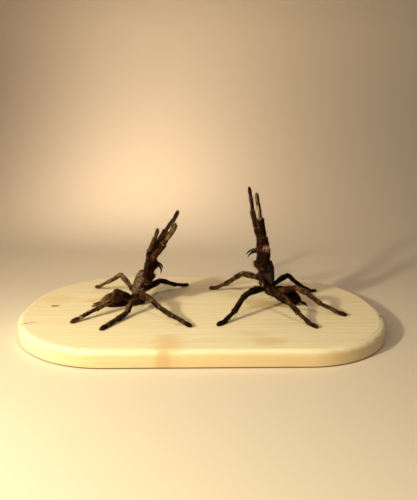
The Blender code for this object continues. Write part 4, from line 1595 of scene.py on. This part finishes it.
class BuildLimbs(bpy.types.Operator):
    """Build the legs and pedipalps of both animals, with their hair"""

    bl_idname = "specimen.limbs"
    bl_label = "Legs and pedipalps"

    def execute(self, context):
        settings = context.scene.specimen_skin
        hair = context.scene.specimen_hair
        hair_material = hair_finish("limb_hair", hair)
        for side, pose in POSES.items():
            for number, limb in enumerate(pose["limbs"]):
                node = f"{side}_{limb}"
                skin = limb_skin(side, pose, limb, settings)
                material = chitin_finish(f"{node}_chitin", settings, LIMB_WEAR_AND_PAINTED_SHADE[side][limb])
                show_skin(f"{node}_skin", skin, material, node)
                seed = 500 + 50 * list(POSES).index(side) + number
                grow_hair(f"{node}_hair", skin, hair, seed, node, hair_material)
        return {"FINISHED"}


class BuildBodies(bpy.types.Operator):
    """Build both cephalothoraxes with their coxae, and their hair"""

    bl_idname = "specimen.bodies"
    bl_label = "Cephalothoraxes"

    def execute(self, context):
        settings = context.scene.specimen_skin
        hair = context.scene.specimen_hair
        hair_material = hair_finish("body_hair", hair)
        velvet = hair_finish("velvet", hair, "olive")
        hip_material = chitin_finish("hip_chitin", settings, 0.25)
        backs = {"left": (settings.left_back, 0.72), "right": (settings.right_back, 0.36)}
        for number, (side, pose) in enumerate(POSES.items()):
            node = f"{side}_cephalothorax"
            tint, tone = backs[side]
            back, hips = Skin(), Skin()
            carapace(back, pose, tone)
            coxae(hips, side, pose, 70 + 20 * number)
            endites(hips, side, pose, 90 + 20 * number)
            material = back_finish(f"{node}_back", settings, tint)
            show_skin(f"{node}_back", back, material, node)
            show_skin(f"{node}_hips", hips, hip_material, node)
            grow_hair(f"{node}_velvet", back, hair, 800 + number, node, velvet)
            grow_hair(f"{node}_hair", hips, hair, 820 + number, node, hair_material)
        return {"FINISHED"}


class BuildJaws(bpy.types.Operator):
    """Build the chelicerae and their fangs"""

    bl_idname = "specimen.jaws"
    bl_label = "Jaws and fangs"

    def execute(self, context):
        settings = context.scene.specimen_skin
        hair = context.scene.specimen_hair
        hair_material = hair_finish("jaw_hair", hair)
        jaw_material = chitin_finish("jaw_chitin", settings, 0.25)
        fang_material = fang_finish("fang", settings)
        for side, pose in POSES.items():
            near_sign = math.copysign(1, -body_frame(pose)[1, 1])
            for number, (name, sign) in enumerate((("near", near_sign), ("far", -near_sign))):
                node = f"{side}_chelicera_{name}"
                jaw, fang = chelicera_skins(pose, name, sign)
                show_skin(f"{node}_skin", jaw, jaw_material, node)
                show_skin(f"{node}_fang", fang, fang_material, node)
                grow_hair(f"{node}_hair", jaw, hair, 900 + number, node, hair_material)
        return {"FINISHED"}


class BuildAbdomens(bpy.types.Operator):
    """Build the shrunken abdomens with their spinnerets"""

    bl_idname = "specimen.abdomens"
    bl_label = "Abdomens"

    def execute(self, context):
        settings = context.scene.specimen_skin
        hair = context.scene.specimen_hair
        hair_material = hair_finish("abdomen_hair", hair)
        dark, worn = tuple(settings.abdomen), tuple(settings.red)
        material = chitin_finish("abdomen_skin", settings, 0.5, dark, worn)
        for number, (side, pose) in enumerate(POSES.items()):
            node = f"{side}_abdomen"
            skin = abdomen_skin(pose, 60 + 10 * number)
            show_skin(f"{node}_skin", skin, material, node)
            seed = 950 + number
            grow_hair(f"{node}_hair", skin, hair, seed, node, hair_material, down=1.4)
        return {"FINISHED"}


class BuildStage(bpy.types.Operator):
    """Set out the floor, the lights and the camera"""

    bl_idname = "specimen.stage"
    bl_label = "Stage"

    def execute(self, context):
        settings = context.scene.specimen_stage
        sweep_floor(settings)
        soft_light("key", *KEY_LIGHT, settings.key_power, settings.key_colour)
        soft_light("soft", *SOFT_LIGHT, settings.soft_power, settings.key_colour)
        soft_light("wash", *WASH_LIGHT, settings.wash_power, settings.wash_colour)
        soft_light("backdrop", *BACKDROP_LIGHT, settings.backdrop_power, settings.backdrop_colour)
        soft_light("side", *SIDE_LIGHT, settings.side_power, settings.side_colour)
        world = bpy.data.worlds.new("studio")
        world.use_nodes = True
        background = world.node_tree.nodes["Background"]
        background.inputs["Color"].default_value = (*settings.fill_colour, 1.0)
        background.inputs["Strength"].default_value = settings.fill
        context.scene.world = world
        context.scene.view_settings.view_transform = "Standard"
        photo_camera(settings)
        return {"FINISHED"}


OPERATORS = (BuildStage, BuildBoard, BuildLimbs, BuildBodies, BuildJaws, BuildAbdomens)
GROUPS = {
    "specimen_board": SpecimenBoard,
    "specimen_skin": SpecimenSkin,
    "specimen_hair": SpecimenHair,
    "specimen_stage": SpecimenStage,
}


class SpecimenPanel(bpy.types.Panel):
    """Sizes, colours and the steps that build the pair"""

    bl_idname = "VIEW3D_PT_specimen"
    bl_label = "Mounted tarantula pair"
    bl_space_type = "VIEW_3D"
    bl_region_type = "UI"
    bl_category = "Specimen"

    def draw(self, context):
        for name, group in GROUPS.items():
            box = self.layout.box()
            box.label(text=group.__doc__)
            for key in group.__annotations__:
                box.prop(getattr(context.scene, name), key)
        for operator in OPERATORS:
            self.layout.operator(operator.bl_idname)


def register():
    for group in GROUPS.values():
        bpy.utils.register_class(group)
    for name, group in GROUPS.items():
        setattr(bpy.types.Scene, name, bpy.props.PointerProperty(type=group))
    for operator in OPERATORS:
        bpy.utils.register_class(operator)
    bpy.utils.register_class(SpecimenPanel)


def unregister():
    bpy.utils.unregister_class(SpecimenPanel)
    for operator in reversed(OPERATORS):
        bpy.utils.unregister_class(operator)
    for name in GROUPS:
        delattr(bpy.types.Scene, name)
    for group in reversed(list(GROUPS.values())):
        bpy.utils.unregister_class(group)


def corners(box):
    """A box's two corners as plain lists."""
    return [[float(part) for part in corner] for corner in box]


def main():
    register()
    bpy.ops.specimen.stage()
    bpy.ops.specimen.board()
    bpy.ops.specimen.limbs()
    bpy.ops.specimen.bodies()
    bpy.ops.specimen.jaws()
    bpy.ops.specimen.abdomens()


if __name__ == "__main__":
    main()
